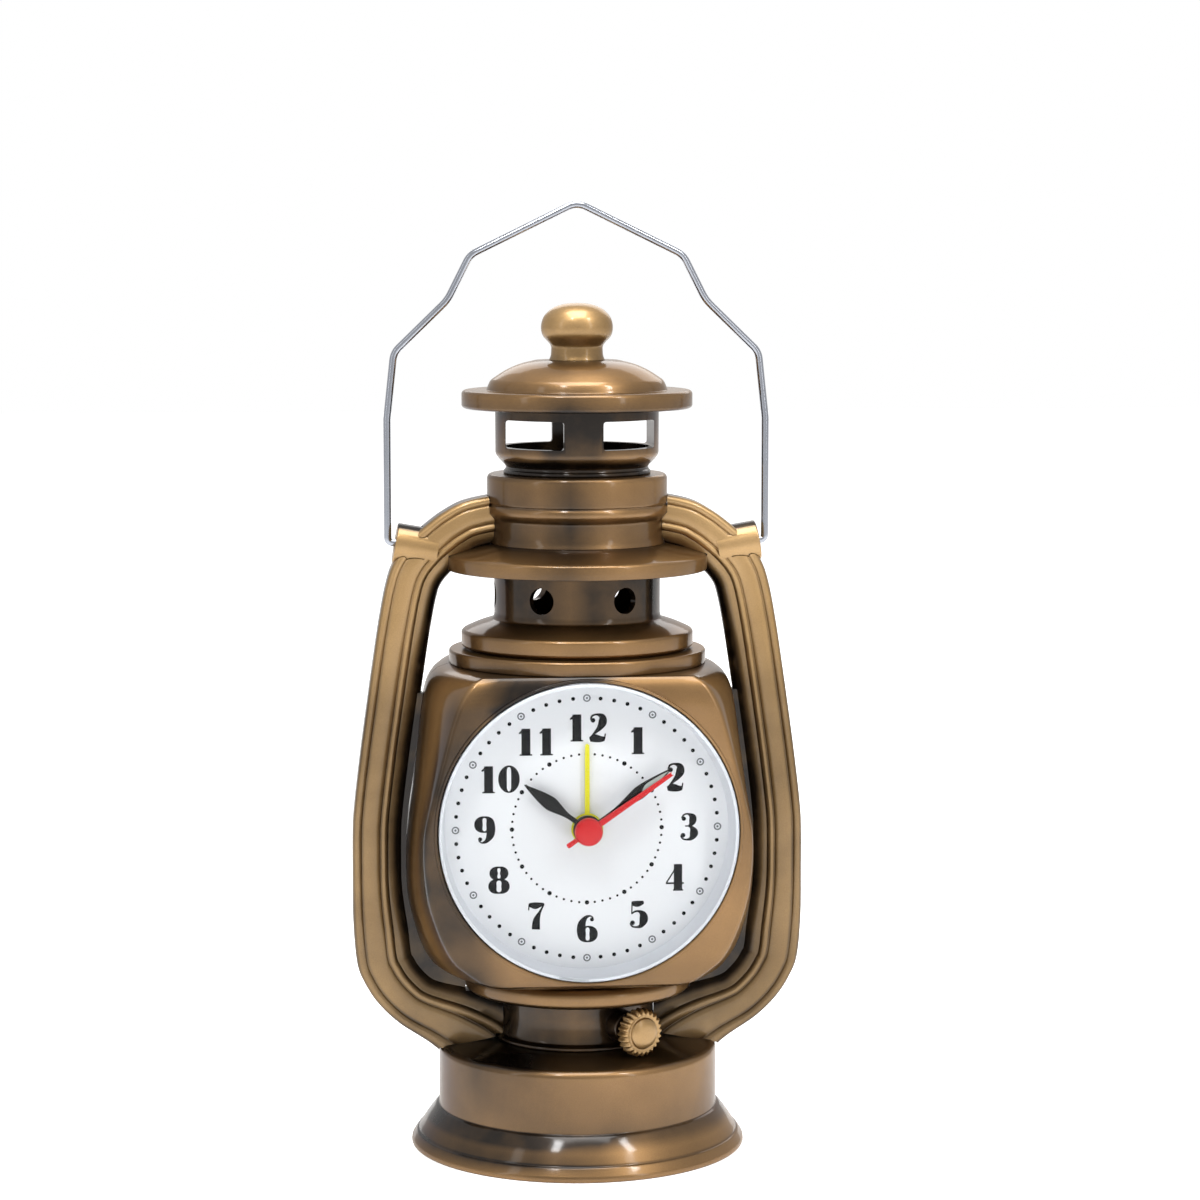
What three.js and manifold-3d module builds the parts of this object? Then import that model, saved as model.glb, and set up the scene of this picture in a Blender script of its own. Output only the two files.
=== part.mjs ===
// A table alarm clock in the shape of an old storm lantern.
// Millimetres, +Z up. The dial faces -Y and the origin is the centre of the underside.

import * as THREE from 'three';
import { mergeVertices } from 'three/addons/utils/BufferGeometryUtils.js';
import Module from 'manifold-3d';

const wasm = await Module();
wasm.setup();

// Clearances and shared sizes
const fit = 0.3;
const pressGap = 0.1;
const overrun = 6;
const wall = 2;
const quarterTurn = Math.PI / 2;
const fullTurn = Math.PI * 2;
const roundSides = 26;
const smallSides = 8;
const pipeSides = 12;

// Tank, the foot of the lantern
const tank = {
  bandRadius: 36.8, bandHeight: 1.2, flareRadius: 35.1, flareHeight: 3.3, curlRadius: 32.8, curlHeight: 6.9,
  radius: 30.6, wallFootHeight: 8.9, shoulderHeight: 22, topRadius: 19, topHeight: 24, boltHoleRadius: 2.3,
};
const basePlate = { thickness: 2, radius: 33, holeRadius: 1.6 };
const post = { radius: 3, ringRadius: 24, count: 3 };
const screw = { radius: 1, headRadius: 1.9, headHeight: 1, length: 9 };

// Burner neck and wick knob
const neck = {
  footRadius: 18.5, footStep: 0.8, radius: 17, bore: 13, height: 10.4, boss: 3.6, bossReach: 20,
};
const wick = {
  azimuthAngle: 29 * Math.PI / 180, rise: 4.8, radius: 5.3, fluteDepth: 0.45, flutes: 24,
  rearReach: 22.6, thickness: 3.2, domeRadius: 3.4, domeHeight: 1, shaftRadius: 1.5, innerReach: 15,
};

// Ring under the globe, and the bolt that clamps tank, neck and globe
const footRing = { radius: 25, height: 4.4, bore: 15, floor: 1.8, edge: 0.6 };
const bolt = { radius: 2, headRadius: 4, headHeight: 2.4, rise: 9.6 };
const neckTop = tank.topHeight + neck.height;
const footRingTop = neckTop + footRing.height;
const boltTop = neckTop + bolt.rise;

// Clock opening, dial and glass; the clock axis runs along Y
const dial = {
  faceY: -24, thickness: 1, radius: 31.6, holeRadius: 3.3, gap: 0.5, lipWidth: 1.2, lipHeight: 0.5,
};
const openingRadius = dial.radius + dial.gap;
const ledge = { thickness: 1.5, hold: 3.1, tubeWall: 1.8 };
const ledgeBore = dial.radius - ledge.hold;
const lens = { overlap: 0.2, innerY: -30.7, thickness: 1.2, edge: 0.5 };
const lensRadius = dial.radius + lens.overlap;
const surround = { dialInset: 2, rimInset: 0.5 };

// Globe: the barrel-shaped clock case, from the burner neck up
const globeMargin = { below: 7.5, above: 0.8, side: 5.7 };
const axisHeight = neckTop + globeMargin.below + openingRadius;
const globe = {
  bottom: neckTop, top: axisHeight + openingRadius + globeMargin.above,
  halfWidth: openingRadius + globeMargin.side, halfDepth: 30, floor: 6.6, topHole: 12,
};
const globeLevelShares = [
  [0, 0.65, 0.24, 0.77], [0.062, 0.65, 0.24, 0.77], [0.078, 0.76, 0.45, 0.91], [0.093, 0.835, 0.56, 0.985],
  [0.112, 0.875, 0.62, 1], [0.165, 0.925, 0.75, 1], [0.285, 0.985, 0.86, 1], [0.4, 1, 0.91, 1],
  [0.55, 0.976, 0.918, 1], [0.64, 0.957, 0.875, 1], [0.775, 0.926, 0.81, 1], [0.89, 0.9, 0.745, 1],
  [0.955, 0.868, 0.69, 1], [0.985, 0.82, 0.655, 0.985], [1, 0.74, 0.6, 0.95],
];
const sideArcSteps = 4;

// Hands, from the dial outwards
const hand = { thickness: 0.5, gap: 0.7, firstGap: 0.5 };
const alarmHand = { length: 18.3, width: 1.4, hub: 3.7, angle: 0 };
const hourHand = { length: 16.8, width: 3.2, hub: 3.1, angle: 306.2 * Math.PI / 180 };
const minuteHand = { length: 22.2, width: 3, hub: 3.1, angle: 53.5 * Math.PI / 180 };
const secondHand = {
  length: 21.4, width: 0.9, hub: 3, tail: 5.5, capHeight: 1.4, angle: 55.5 * Math.PI / 180,
};

// Arbor and pipe radii: second arbor inside minute pipe inside hour pipe inside alarm pipe
const arborRadius = 0.5;
const pipe = {
  minuteBore: 0.85, minuteOuter: 1.3, hourBore: 1.65, hourOuter: 2.05, alarmBore: 2.4, alarmOuter: 2.9,
};

// Movement case and wheel layers, counted backwards from the front plate
const caseBox = { halfWidth: 26, halfHeight: 24, wall: 1.2, plate: 1.2, postRadius: 2.4, postInset: 3.7 };
const layer = { frontGap: 0.4, pitch: 1.9, wheel: 0.9 };
const layerOf = {
  alarm: 0, hour: 1, motion: 2, centre: 3, plate: 4, third: 5, second: 6, intermediate: 7, motor: 8, back: 9,
};
const gearModule = 0.3;
const motionModule = 0.4;
const toothTipShare = 0.6;
const toothRootShare = 0.6;
const backlashShare = 0.5;

// Back of the case
const cover = {
  radiusGap: 2.1, thickness: 2.5, openingGap: 0.3, screwInset: 3, lugSize: 6, lugDepth: 6,
  lowerScrewAngle: 55 * Math.PI / 180,
};
const coverRadius = dial.radius - cover.radiusGap;
const coverScrewRing = coverRadius - cover.screwInset;
const setKnob = { radius: 5.2, thickness: 4.2, standOff: 0.8, flutes: 16, fluteDepth: 0.4, stemRadius: 1 };
const cell = { radius: 5.25, length: 44.5, nub: 0.8, nubRadius: 1.9, drop: 8, gap: 0.4, wall: 0.8 };
const door = { halfWidth: 23.2, halfHeight: 5.4, grip: 3, gripDepth: 0.6, gripHeight: 1.2, rim: 1.4 };
const contact = { thickness: 0.4, halfWidth: 3.4, gap: 0.2 };
const switchKnob = {
  width: 4, height: 3, proud: 1.3, travel: 4, stemWidth: 2, stemHeight: 1.4, rise: 17.5, tail: 3,
};
const buzzer = { radius: 6, height: 5, drop: 21.5, holeRadius: 0.8, holes: 6, holeSides: 4 };
const lead = { radius: 0.5, steps: 12, sides: 6, bend: 2.5, blackX: -19, redX: -13, boardDrop: 5 };
const motor = {
  magnetRadius: 2.2, magnetGap: 0.6, leftReach: 14.2, rightReach: 7.8, below: 8.25, above: 3.25,
  coilRadius: 3, coilHalfLength: 7, coilDrop: 19, flange: 0.5, coilShift: 1,
};
const board = { left: -21, right: -11, bottom: -17, top: 1, thickness: 1, chip: 2 };

// Chimney, with heights counted from the top of the globe
const shoulder = { radius: 28.1, top: 3.1, bore: 20, edge: 0.5 };
const vent = {
  footRadius: 24, ringBottom: 3.5, ringRadius: 25.3, ringTop: 7.3, radius: 18.1, coneTop: 10.3, top: 24.75,
  bore: 16.3, holeRadius: 2.85, holeHeight: 14.8, holes: 6, holeSides: 12, edge: 0.4,
};
const skirt = { radius: 28.4, bottom: 20.4, rimTop: 23.6, top: 26.1, lip: 1.4, roof: 1.6 };
const collar = {
  lowRadius: 19.3, lowTop: 32.6, bandRadius: 18.9, bandTop: 34.3, radius: 19.7, top: 41.2, bore: 15.5,
  edge: 0.6,
};
const gallery = {
  radius: 17.8, bore: 15.6, beadRadius: 16, beadHeight: 0.8, throatRadius: 15.4, throatHeight: 42.7,
  swellRadius: 16.7, swellHeight: 44, wallHeight: 45.5, floorHeight: 44.7, floorBore: 9,
  windowBottom: 47.1, windowTop: 53.2, pillarHalf: 4.2, windowOuter: 16,
};
const cap = {
  brimRadius: 25.05, bottom: 55.4, brimTop: 59.3, footRadius: 19.3, footHeight: 60.5, kneeRadius: 18.8,
  kneeHeight: 61.4, slopeRadius: 15.6, slopeHeight: 63.55, topRadius: 9.2, topHeight: 65.7, edge: 0.7,
  wall: 1.8, recess: 16.8,
};
const finial = {
  neckRadius: 5.65, neckHeight: 3.8, underRadius: 6, underHeight: 4.6, radius: 7.9, wideHeight: 8,
  height: 12.4, spigotRadius: 2, spigotLength: 6.6,
};

// Side tubes and carrying wire
const arm = {
  globeGap: 11.6, topRise: 36.7, footDrop: 1.6, depth: 8.2, face: 7.6, bulge: 11.4, bead: 2, groove: 0.6,
  steps: 24, trim: 0.8, webDepth: 4, swellShare: 0.13, swellFullShare: 0.19, swellStartShare: 0.32,
  flareShare: 0.65, flareFullShare: -0.05, flareStartShare: 0.05,
};
const armReach = globe.halfWidth + arm.globeGap;
const armTop = globe.top + arm.topRise;
const armBottom = tank.topHeight - arm.footDrop;
const armOutlineShares = [
  [0.38, 1], [0.514, 0.9885], [0.597, 0.97], [0.654, 0.952], [0.717, 0.934], [0.783, 0.896], [0.846, 0.844],
  [0.893, 0.735], [0.931, 0.626], [0.964, 0.535], [0.992, 0.442], [1, 0.39], [1, 0.228], [0.984, 0.154],
  [0.949, 0.116], [0.891, 0.079], [0.798, 0.042], [0.66, 0.004], [0.55, -0.036], [0.4, -0.1],
];
const armWebShares = [
  [0.81, 0.645], [0.861, 0.542], [0.888, 0.434], [0.892, 0.311], [0.875, 0.212], [0.821, 0.134],
  [0.729, 0.088], [0.567, 0.043], [0.284, 0.035], [0.284, 0.311], [0.608, 0.608], [0.689, 0.645],
];
const ear = { radius: 4.4, rootInset: 18.4, faceInset: 9.7, rise: 26.3, tiltAngle: 10 * Math.PI / 180 };
const earRoot = armReach - ear.rootInset;
const earFace = armReach - ear.faceInset;
const earHeight = globe.top + ear.rise;
const wire = { radius: 0.8, earGap: 1.5, tipDepth: 2.1, rise: 73.6, bend: 1.3, steps: 84, sides: 6 };
const wireBendShares = [[0.962, 0.561], [0.68, 0.714], [0.561, 0.843]];

const innerBulgeShares = [[0.92, 0.45], [0.6, 0.85], [0, 1]];
const crownShares = [[1, 0], [0.95, 0.4], [0.72, 0.8], [0.38, 0.97], [0, 1]];
const domeEdgeShare = 0.8;
const capTopShare = 0.7;
const leafShares = [[0.16, 0], [0.16, 0.25], [0.34, 0.38], [0.5, 0.55], [0.4, 0.74], [0, 1]];
const barShares = [[0.5, 0], [0.5, 0.96], [0, 1]];

// Places along Y that follow from the sizes above
const dialBackY = dial.faceY + dial.thickness;
const ledgeBackY = dialBackY + ledge.thickness;
const caseFrontY = ledgeBackY + fit;
const caseInnerY = caseFrontY + caseBox.plate;
const backPlateY = layerY(layerOf.back);
const backPlateRearY = backPlateY + caseBox.plate;
const coverFaceY = globe.halfDepth;
const coverInnerY = coverFaceY - cover.thickness;
const alarmHandY = dial.faceY - hand.firstGap - hand.thickness;
const hourHandY = alarmHandY - hand.gap - hand.thickness;
const minuteHandY = hourHandY - hand.gap - hand.thickness;
const secondHandY = minuteHandY - hand.gap - hand.thickness;

/** Front face of a wheel layer, counted backwards from the front plate. */
function layerY(count) {
  return caseInnerY + layer.frontGap + count * layer.pitch;
}

// Solids and shapes

/** Turns a closed mesh into a solid for joins and cuts. */
function toSolid(geometry) {
  const bare = geometry.clone();
  bare.deleteAttribute('normal');
  bare.deleteAttribute('uv');
  const merged = mergeVertices(bare);
  const corners = merged.index.array;
  const kept = [];
  for (let i = 0; i < corners.length; i += 3) {
    const [a, b, c] = [corners[i], corners[i + 1], corners[i + 2]];
    if (a !== b && b !== c && c !== a) kept.push(a, b, c);
  }
  const vertProperties = merged.attributes.position.array;
  return new wasm.Manifold(new wasm.Mesh({ numProp: 3, vertProperties, triVerts: new Uint32Array(kept) }));
}

function toGeometry(solid) {
  const mesh = solid.getMesh();
  const geometry = new THREE.BufferGeometry();
  geometry.setAttribute('position', new THREE.BufferAttribute(new Float32Array(mesh.vertProperties), 3));
  geometry.setIndex(new THREE.BufferAttribute(new Uint32Array(mesh.triVerts), 1));
  geometry.computeVertexNormals();
  return geometry;
}

function cut(base, ...tools) {
  return toGeometry(tools.reduce((solid, tool) => solid.subtract(toSolid(tool)), toSolid(base)));
}

function join(base, ...others) {
  return toGeometry(others.reduce((solid, other) => solid.add(toSolid(other)), toSolid(base)));
}

function common(first, second) {
  return toGeometry(toSolid(first).intersect(toSolid(second)));
}

/** A turned form about Y: profile points are [radius, place along Y]. */
function turnedAlongY(profile, sides = roundSides) {
  const points = profile.map(([radius, place]) => new THREE.Vector2(radius, place));
  const closedOnAxis = profile[0][0] === 0 && profile[profile.length - 1][0] === 0;
  if (!closedOnAxis) points.push(points[0].clone());
  return new THREE.LatheGeometry(points, sides);
}

/** A turned form about Z: profile points are [radius, height]. */
function turned(profile, sides = roundSides) {
  return turnedAlongY(profile, sides).rotateX(quarterTurn);
}

function tubeAlongY(bore, radius, front, back, sides = roundSides) {
  return turnedAlongY([[bore, front], [radius, front], [radius, back], [bore, back]], sides);
}

function rodAlongY(radius, front, back, sides = smallSides) {
  return turnedAlongY([[0, front], [radius, front], [radius, back], [0, back]], sides);
}

function rodAlongZ(radius, bottom, top, sides = smallSides) {
  return turned([[0, bottom], [radius, bottom], [radius, top], [0, top]], sides);
}

/** A box between two corners. */
function block(low, high) {
  const size = low.map((value, i) => high[i] - value);
  const centre = low.map((value, i) => (high[i] + value) / 2);
  return new THREE.BoxGeometry(...size).translate(...centre);
}

/** An outline seen from the front, extruded from one Y to another. */
function plateAlongY(outline, front, back) {
  const shape = new THREE.Shape(outline.map(([x, z]) => new THREE.Vector2(x, z)));
  const solid = new THREE.ExtrudeGeometry(shape, { depth: back - front, bevelEnabled: false });
  return solid.rotateX(quarterTurn).translate(0, back, 0);
}

function roundSection(radius, sides) {
  return new THREE.Shape(ringPlaces(sides, radius).map(([x, y]) => new THREE.Vector2(x, y)));
}

/** A closed skin over rings of points, with a flat end over the first and the last ring. */
function loft(rings) {
  const points = rings.flat();
  const count = rings[0].length;
  const corners = [];
  for (let level = 0; level < rings.length - 1; level += 1) {
    for (let i = 0; i < count; i += 1) {
      const a = level * count + i;
      const b = level * count + (i + 1) % count;
      corners.push(a, b, b + count, a, b + count, a + count);
    }
  }
  const last = (rings.length - 1) * count;
  for (let i = 1; i < count - 1; i += 1) {
    corners.push(0, i + 1, i, last, last + i, last + i + 1);
  }
  const geometry = new THREE.BufferGeometry().setFromPoints(points);
  geometry.setIndex(corners);
  return geometry;
}

// Tank and neck

/** Places on a ring of equal steps about the vertical axis. */
function ringPlaces(count, radius, startAngle = 0) {
  return Array.from({ length: count }, (_, i) => {
    const angle = startAngle + (i / count) * fullTurn;
    return [radius * Math.cos(angle), radius * Math.sin(angle)];
  });
}

function tankShell() {
  const outside = [
    [tank.bandRadius, 0], [tank.bandRadius, tank.bandHeight], [tank.flareRadius, tank.flareHeight],
    [tank.curlRadius, tank.curlHeight], [tank.radius, tank.wallFootHeight],
    [tank.radius, tank.shoulderHeight - wall], [tank.radius - wall / 2, tank.shoulderHeight],
    [tank.topRadius, tank.topHeight],
  ];
  const roof = tank.topHeight - wall;
  const innerRadius = tank.radius - wall;
  const inside = [
    [tank.boltHoleRadius, tank.topHeight], [tank.boltHoleRadius, roof], [tank.topRadius, roof],
    [innerRadius, tank.shoulderHeight - wall], [innerRadius, tank.wallFootHeight],
    [basePlate.radius + fit, basePlate.thickness + wall], [basePlate.radius + fit, 0],
  ];
  const posts = ringPlaces(post.count, post.ringRadius).map(([x, y]) => (
    rodAlongZ(post.radius, basePlate.thickness + fit, tank.shoulderHeight).translate(x, y, 0)
  ));
  const holes = ringPlaces(post.count, post.ringRadius).map(([x, y]) => (
    rodAlongZ(screw.radius + fit, 0, basePlate.thickness + screw.length + fit).translate(x, y, 0)
  ));
  return cut(join(turned([...outside, ...inside]), ...posts), ...holes);
}

function bottomPlate() {
  const disc = rodAlongZ(basePlate.radius, 0, basePlate.thickness, roundSides);
  const holes = ringPlaces(post.count, post.ringRadius).flatMap(([x, y]) => [
    rodAlongZ(basePlate.holeRadius, -overrun, overrun).translate(x, y, 0),
    rodAlongZ(screw.headRadius + fit, -overrun, screw.headHeight + fit).translate(x, y, 0),
  ]);
  return cut(disc, ...holes);
}

/** A screw pointing up, with its head's outer face at zero. */
function upwardScrew() {
  const { radius, headRadius, headHeight, length } = screw;
  return turned([
    [0, 0], [headRadius, 0], [headRadius, headHeight], [radius, headHeight], [radius, length], [0, length],
  ], smallSides);
}

function burnerNeck() {
  const { footRadius, footStep, radius, bore, boss, bossReach } = neck;
  const step = tank.topHeight + footStep;
  const tube = turned([
    [bore, tank.topHeight], [footRadius, tank.topHeight], [footRadius, step], [radius, step],
    [radius, neckTop], [bore, neckTop],
  ]);
  const bossRod = placeOnWickAxis(rodAlongY(boss, -bossReach, -(bore + radius) / 2));
  const shaftHole = placeOnWickAxis(rodAlongY(wick.shaftRadius + fit, -bossReach - overrun, -bore + overrun));
  return cut(join(tube, bossRod), shaftHole);
}

/** Turns a piece made along -Y onto the wick knob's axis. */
function placeOnWickAxis(geometry) {
  return geometry.rotateZ(wick.azimuthAngle).translate(0, 0, tank.topHeight + wick.rise);
}

function flutedOutline(radius, depth, flutes) {
  return Array.from({ length: flutes * 2 }, (_, i) => {
    const angle = (i / (flutes * 2)) * fullTurn;
    const reach = i % 2 === 0 ? radius : radius - depth;
    return [reach * Math.cos(angle), reach * Math.sin(angle)];
  });
}

function wickKnob() {
  const { radius, fluteDepth, flutes, rearReach, thickness } = wick;
  const { domeRadius, domeHeight, shaftRadius, innerReach } = wick;
  const faceReach = rearReach + thickness;
  const rim = plateAlongY(flutedOutline(radius, fluteDepth, flutes), -faceReach, -rearReach);
  const shaft = rodAlongY(shaftRadius, -faceReach + domeHeight, -innerReach);
  const dome = turnedAlongY([
    [0, -faceReach - domeHeight], [domeRadius / 2, -faceReach - domeHeight * domeEdgeShare],
    [domeRadius, -faceReach + domeHeight / 2], [0, -faceReach + domeHeight / 2],
  ], smallSides * 2);
  return placeOnWickAxis(join(rim, shaft, dome));
}

function footRingPiece() {
  const { radius, bore, floor, edge } = footRing;
  const seat = neckTop + floor;
  return turned([
    [tank.boltHoleRadius, neckTop], [radius - edge, neckTop], [radius, neckTop + edge],
    [radius, footRingTop - edge], [radius - edge, footRingTop], [bore, footRingTop], [bore, seat],
    [tank.boltHoleRadius, seat],
  ]);
}

function tieBolt() {
  const headTop = tank.topHeight - wall;
  const { radius, headRadius, headHeight } = bolt;
  return turned([
    [0, headTop - headHeight], [headRadius, headTop - headHeight], [headRadius, headTop], [radius, headTop],
    [radius, boltTop], [0, boltTop],
  ], smallSides);
}

// Globe shells

/** One level of the barrel: flat front and rear panels joined by bulged sides. */
function barrelLevel([heightShare, widthShare, panelShare, depthShare], inset, bottom, top) {
  const z = bottom + (top - bottom) * heightShare;
  const halfWidth = globe.halfWidth * widthShare - inset;
  const panel = globe.halfWidth * panelShare - inset;
  const depth = globe.halfDepth * depthShare - inset;
  const side = Array.from({ length: sideArcSteps + 1 }, (_, i) => {
    const along = -1 + (2 * i) / sideArcSteps;
    return [panel + (halfWidth - panel) * (1 - along * along), depth * along];
  });
  return [...side, ...side.map(([x, y]) => [-x, -y])].map(([x, y]) => new THREE.Vector3(x, y, z));
}

function barrel(inset, bottom, top) {
  return loft(globeLevelShares.map((shares) => barrelLevel(shares, inset, bottom, top)));
}

/** Half of the barrel, facing -Y, with a stepped opening cut by the given tools. */
function barrelHalf(frame, tools) {
  const { bottom, top, floor, topHole, halfWidth, halfDepth } = globe;
  const outer = barrel(0, bottom, top);
  const inner = barrel(wall, bottom + floor, top - wall);
  const shell = join(cut(outer, inner), common(frame, outer));
  const half = block([-halfWidth - overrun, -halfDepth - overrun, bottom - overrun],
    [halfWidth + overrun, -fit / 2, top + overrun]);
  const footCutter = rodAlongZ(footRing.radius + fit, bottom - overrun, footRingTop + fit, roundSides);
  const topCutter = rodAlongZ(topHole, top - wall - overrun / 2, top + overrun);
  const boltHole = rodAlongZ(bolt.radius + fit, bottom, boltTop + fit);
  return cut(common(shell, half), footCutter, topCutter, boltHole, ...tools);
}

function atClockAxis(geometry) {
  return geometry.translate(0, 0, axisHeight);
}

/** Lifts a chimney piece from its own heights onto the top of the globe. */
function onGlobe(geometry) {
  return geometry.translate(0, 0, globe.top);
}

function globeFrontShell() {
  const { lipWidth, lipHeight } = dial;
  const face = -globe.halfDepth;
  const frame = atClockAxis(tubeAlongY(ledgeBore, openingRadius + ledge.tubeWall, face, ledgeBackY));
  const lipRadius = openingRadius + lipWidth;
  const lip = atClockAxis(tubeAlongY(openingRadius, lipRadius, face - lipHeight, face + wall / 2));
  const opening = atClockAxis(rodAlongY(openingRadius, face - overrun, dialBackY, roundSides));
  const throat = atClockAxis(rodAlongY(ledgeBore, face - overrun, ledgeBackY + overrun / 2, roundSides));
  const bodies = barrelHalf(frame, [opening, throat]);
  const reach = block([-globe.halfWidth, face - overrun, globe.bottom], [globe.halfWidth, 0, globe.top]);
  const trimmedLip = common(lip, reach);
  const screwHoles = caseScrewPlaces().map(([x, z]) => (
    rodAlongY(screw.radius + fit, dialBackY + fit, ledgeBackY + overrun).translate(x, 0, z)
  ));
  return cut(join(bodies, trimmedLip), opening, ...screwHoles);
}

function coverScrewAngles() {
  return [quarterTurn, -cover.lowerScrewAngle, cover.lowerScrewAngle - Math.PI];
}

function coverScrewPlaces() {
  return coverScrewAngles().map((angle) => (
    [coverScrewRing * Math.cos(angle), axisHeight + coverScrewRing * Math.sin(angle)]
  ));
}

/** The rear half, built facing -Y and turned round, with three lugs for the cover screws. */
function globeRearShell() {
  const face = -globe.halfDepth;
  const lugBackY = -coverInnerY + cover.lugDepth;
  const bore = coverRadius + cover.openingGap;
  const frame = atClockAxis(tubeAlongY(bore, bore + ledge.tubeWall, face, lugBackY));
  const opening = atClockAxis(rodAlongY(bore, face - overrun, lugBackY, roundSides));
  const shell = barrelHalf(frame, [opening]);
  const lugs = coverScrewAngles().map((angle) => atClockAxis(block(
    [coverScrewRing - cover.lugSize / 2, -coverInnerY + fit, -cover.lugSize / 2],
    [bore + ledge.tubeWall / 2, lugBackY, cover.lugSize / 2],
  ).rotateY(-angle)));
  const holes = coverScrewPlaces().map(([x, z]) => (
    rodAlongY(screw.radius + fit, face, lugBackY + overrun).translate(x, 0, z)
  ));
  return cut(join(shell, ...lugs), ...holes).rotateZ(Math.PI);
}

function shoulderRing() {
  const { radius, top, bore, edge } = shoulder;
  return turned([[bore, 0], [radius, 0], [radius, top - edge], [radius - edge, top], [bore, top]]);
}

// Chimney

function ventNeck() {
  const { footRadius, ringBottom, ringRadius, ringTop, radius, coneTop, top, bore, edge } = vent;
  const body = turned([
    [shoulder.bore, shoulder.top], [footRadius, shoulder.top], [footRadius, ringBottom],
    [ringRadius, ringBottom], [ringRadius, ringTop - edge], [ringRadius - edge, ringTop],
    [radius, coneTop], [radius, top], [bore, top], [bore, coneTop],
  ]);
  const holes = Array.from({ length: vent.holes / 2 }, (_, i) => {
    const angle = ((i + 1 / 2) / vent.holes) * fullTurn;
    return rodAlongY(vent.holeRadius, -radius - overrun, radius + overrun, vent.holeSides)
      .rotateZ(angle).translate(0, 0, vent.holeHeight);
  });
  return cut(body, ...holes);
}

function chimneySkirt() {
  const { radius, bottom, rimTop, top, lip, roof } = skirt;
  const seat = vent.radius + fit;
  return turned([
    [radius - lip, bottom], [radius, bottom], [radius, rimTop], [collar.lowRadius, top], [collar.bore, top],
    [collar.bore, top - roof + fit], [seat, top - roof + fit], [seat, rimTop + lip / 2],
    [radius - lip, rimTop - lip],
  ]);
}

function chimneyCollar() {
  const { lowRadius, lowTop, bandRadius, bandTop, radius, top, bore, edge } = collar;
  return turned([
    [bore, skirt.top], [lowRadius, skirt.top], [lowRadius, lowTop], [bandRadius, lowTop + edge],
    [bandRadius, bandTop - edge], [radius, bandTop], [radius, top - edge], [radius - edge, top], [bore, top],
  ]);
}

function galleryRing() {
  const {
    radius, bore, beadRadius, beadHeight, throatRadius, throatHeight, swellRadius, swellHeight, wallHeight,
    floorHeight, floorBore, windowBottom, windowTop, pillarHalf, windowOuter,
  } = gallery;
  const bottom = collar.top;
  const cup = turned([
    [floorBore, bottom], [beadRadius, bottom], [beadRadius, bottom + beadHeight],
    [throatRadius, throatHeight],
    [swellRadius, swellHeight], [radius, wallHeight], [radius, cap.bottom], [bore, cap.bottom],
    [bore, floorHeight], [floorBore, floorHeight],
  ]);
  const windows = [-1, 1].map((side) => {
    const [near, far] = [pillarHalf * side, windowOuter * side];
    return block([Math.min(near, far), -radius - overrun, windowBottom],
      [Math.max(near, far), radius + overrun, windowTop]);
  });
  return cut(cup, ...windows);
}

function chimneyCap() {
  const edgeOut = cap.brimRadius - cap.edge;
  const spigotHole = finial.spigotRadius + fit;
  return turned([
    [cap.recess, cap.bottom], [edgeOut, cap.bottom], [cap.brimRadius, cap.bottom + cap.edge],
    [cap.brimRadius, cap.brimTop - cap.edge], [edgeOut, cap.brimTop], [cap.footRadius, cap.brimTop],
    [cap.footRadius, cap.footHeight], [cap.kneeRadius, cap.kneeHeight], [cap.slopeRadius, cap.slopeHeight],
    [cap.topRadius, cap.topHeight], [spigotHole, cap.topHeight], [spigotHole, cap.topHeight - cap.wall],
    [cap.topRadius, cap.topHeight - cap.wall], [cap.recess - cap.wall, cap.kneeHeight - cap.wall / 2],
    [cap.recess, cap.brimTop - cap.wall / 2],
  ]);
}

/** The knob on the cap, with heights counted from the cap's top. */
function finialKnob() {
  const { neckRadius, neckHeight, underRadius, underHeight, radius, wideHeight, height } = finial;
  const { spigotRadius, spigotLength } = finial;
  const rise = height - wideHeight;
  const crown = crownShares.map(([radiusShare, heightShare]) => (
    [radius * radiusShare, wideHeight + rise * heightShare]
  ));
  return turned([
    [0, -spigotLength], [spigotRadius, -spigotLength], [spigotRadius, 0], [neckRadius, 0],
    [neckRadius, neckHeight], [underRadius, underHeight], ...crown,
  ]).translate(0, 0, cap.topHeight);
}

// Side tubes, ears and carrying wire

/** Section of a side tube: x is depth, y runs from the outer edge inwards. */
function armSection() {
  const { depth, face, bulge, bead, groove, trim } = arm;
  const half = depth / 2;
  const ridge = (bead + face) / 2;
  const front = [
    [half - trim, 0], [half, trim], [half, bead - groove], [half - groove, bead], [half, bead + groove],
    [half, ridge - groove], [half + groove / 2, ridge], [half, ridge + groove],
    [half, face - bead], [half - groove, face - bead + groove], [half, face - bead / 2],
    [half - trim / 2, face],
  ];
  const inner = innerBulgeShares.map(([depthShare, bulgeShare]) => (
    [half * depthShare, face + (bulge - face) * bulgeShare]
  ));
  const right = [...front, ...inner];
  const mirrored = right.filter(([x]) => x > 0).map(([x, y]) => [-x, y]).reverse();
  return [...right, ...mirrored].reverse();
}

/** The outer outline of a side tube at +X, from the collar down into the tank. */
function armOutline() {
  const rise = armTop - armBottom;
  return new THREE.CatmullRomCurve3(armOutlineShares.map(([reachShare, riseShare]) => (
    new THREE.Vector3(armReach * reachShare, 0, armBottom + rise * riseShare)
  )), false, 'centripetal');
}

/** How much wider than its section a side tube is at a height. */
function armGrowth(height) {
  const riseShare = (height - armBottom) / (armTop - armBottom);
  const swelled = 1 - THREE.MathUtils.smoothstep(riseShare, arm.swellFullShare, arm.swellStartShare);
  const flared = 1 - THREE.MathUtils.smoothstep(riseShare, arm.flareFullShare, arm.flareStartShare);
  return 1 + arm.swellShare * swelled + arm.flareShare * flared;
}

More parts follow.
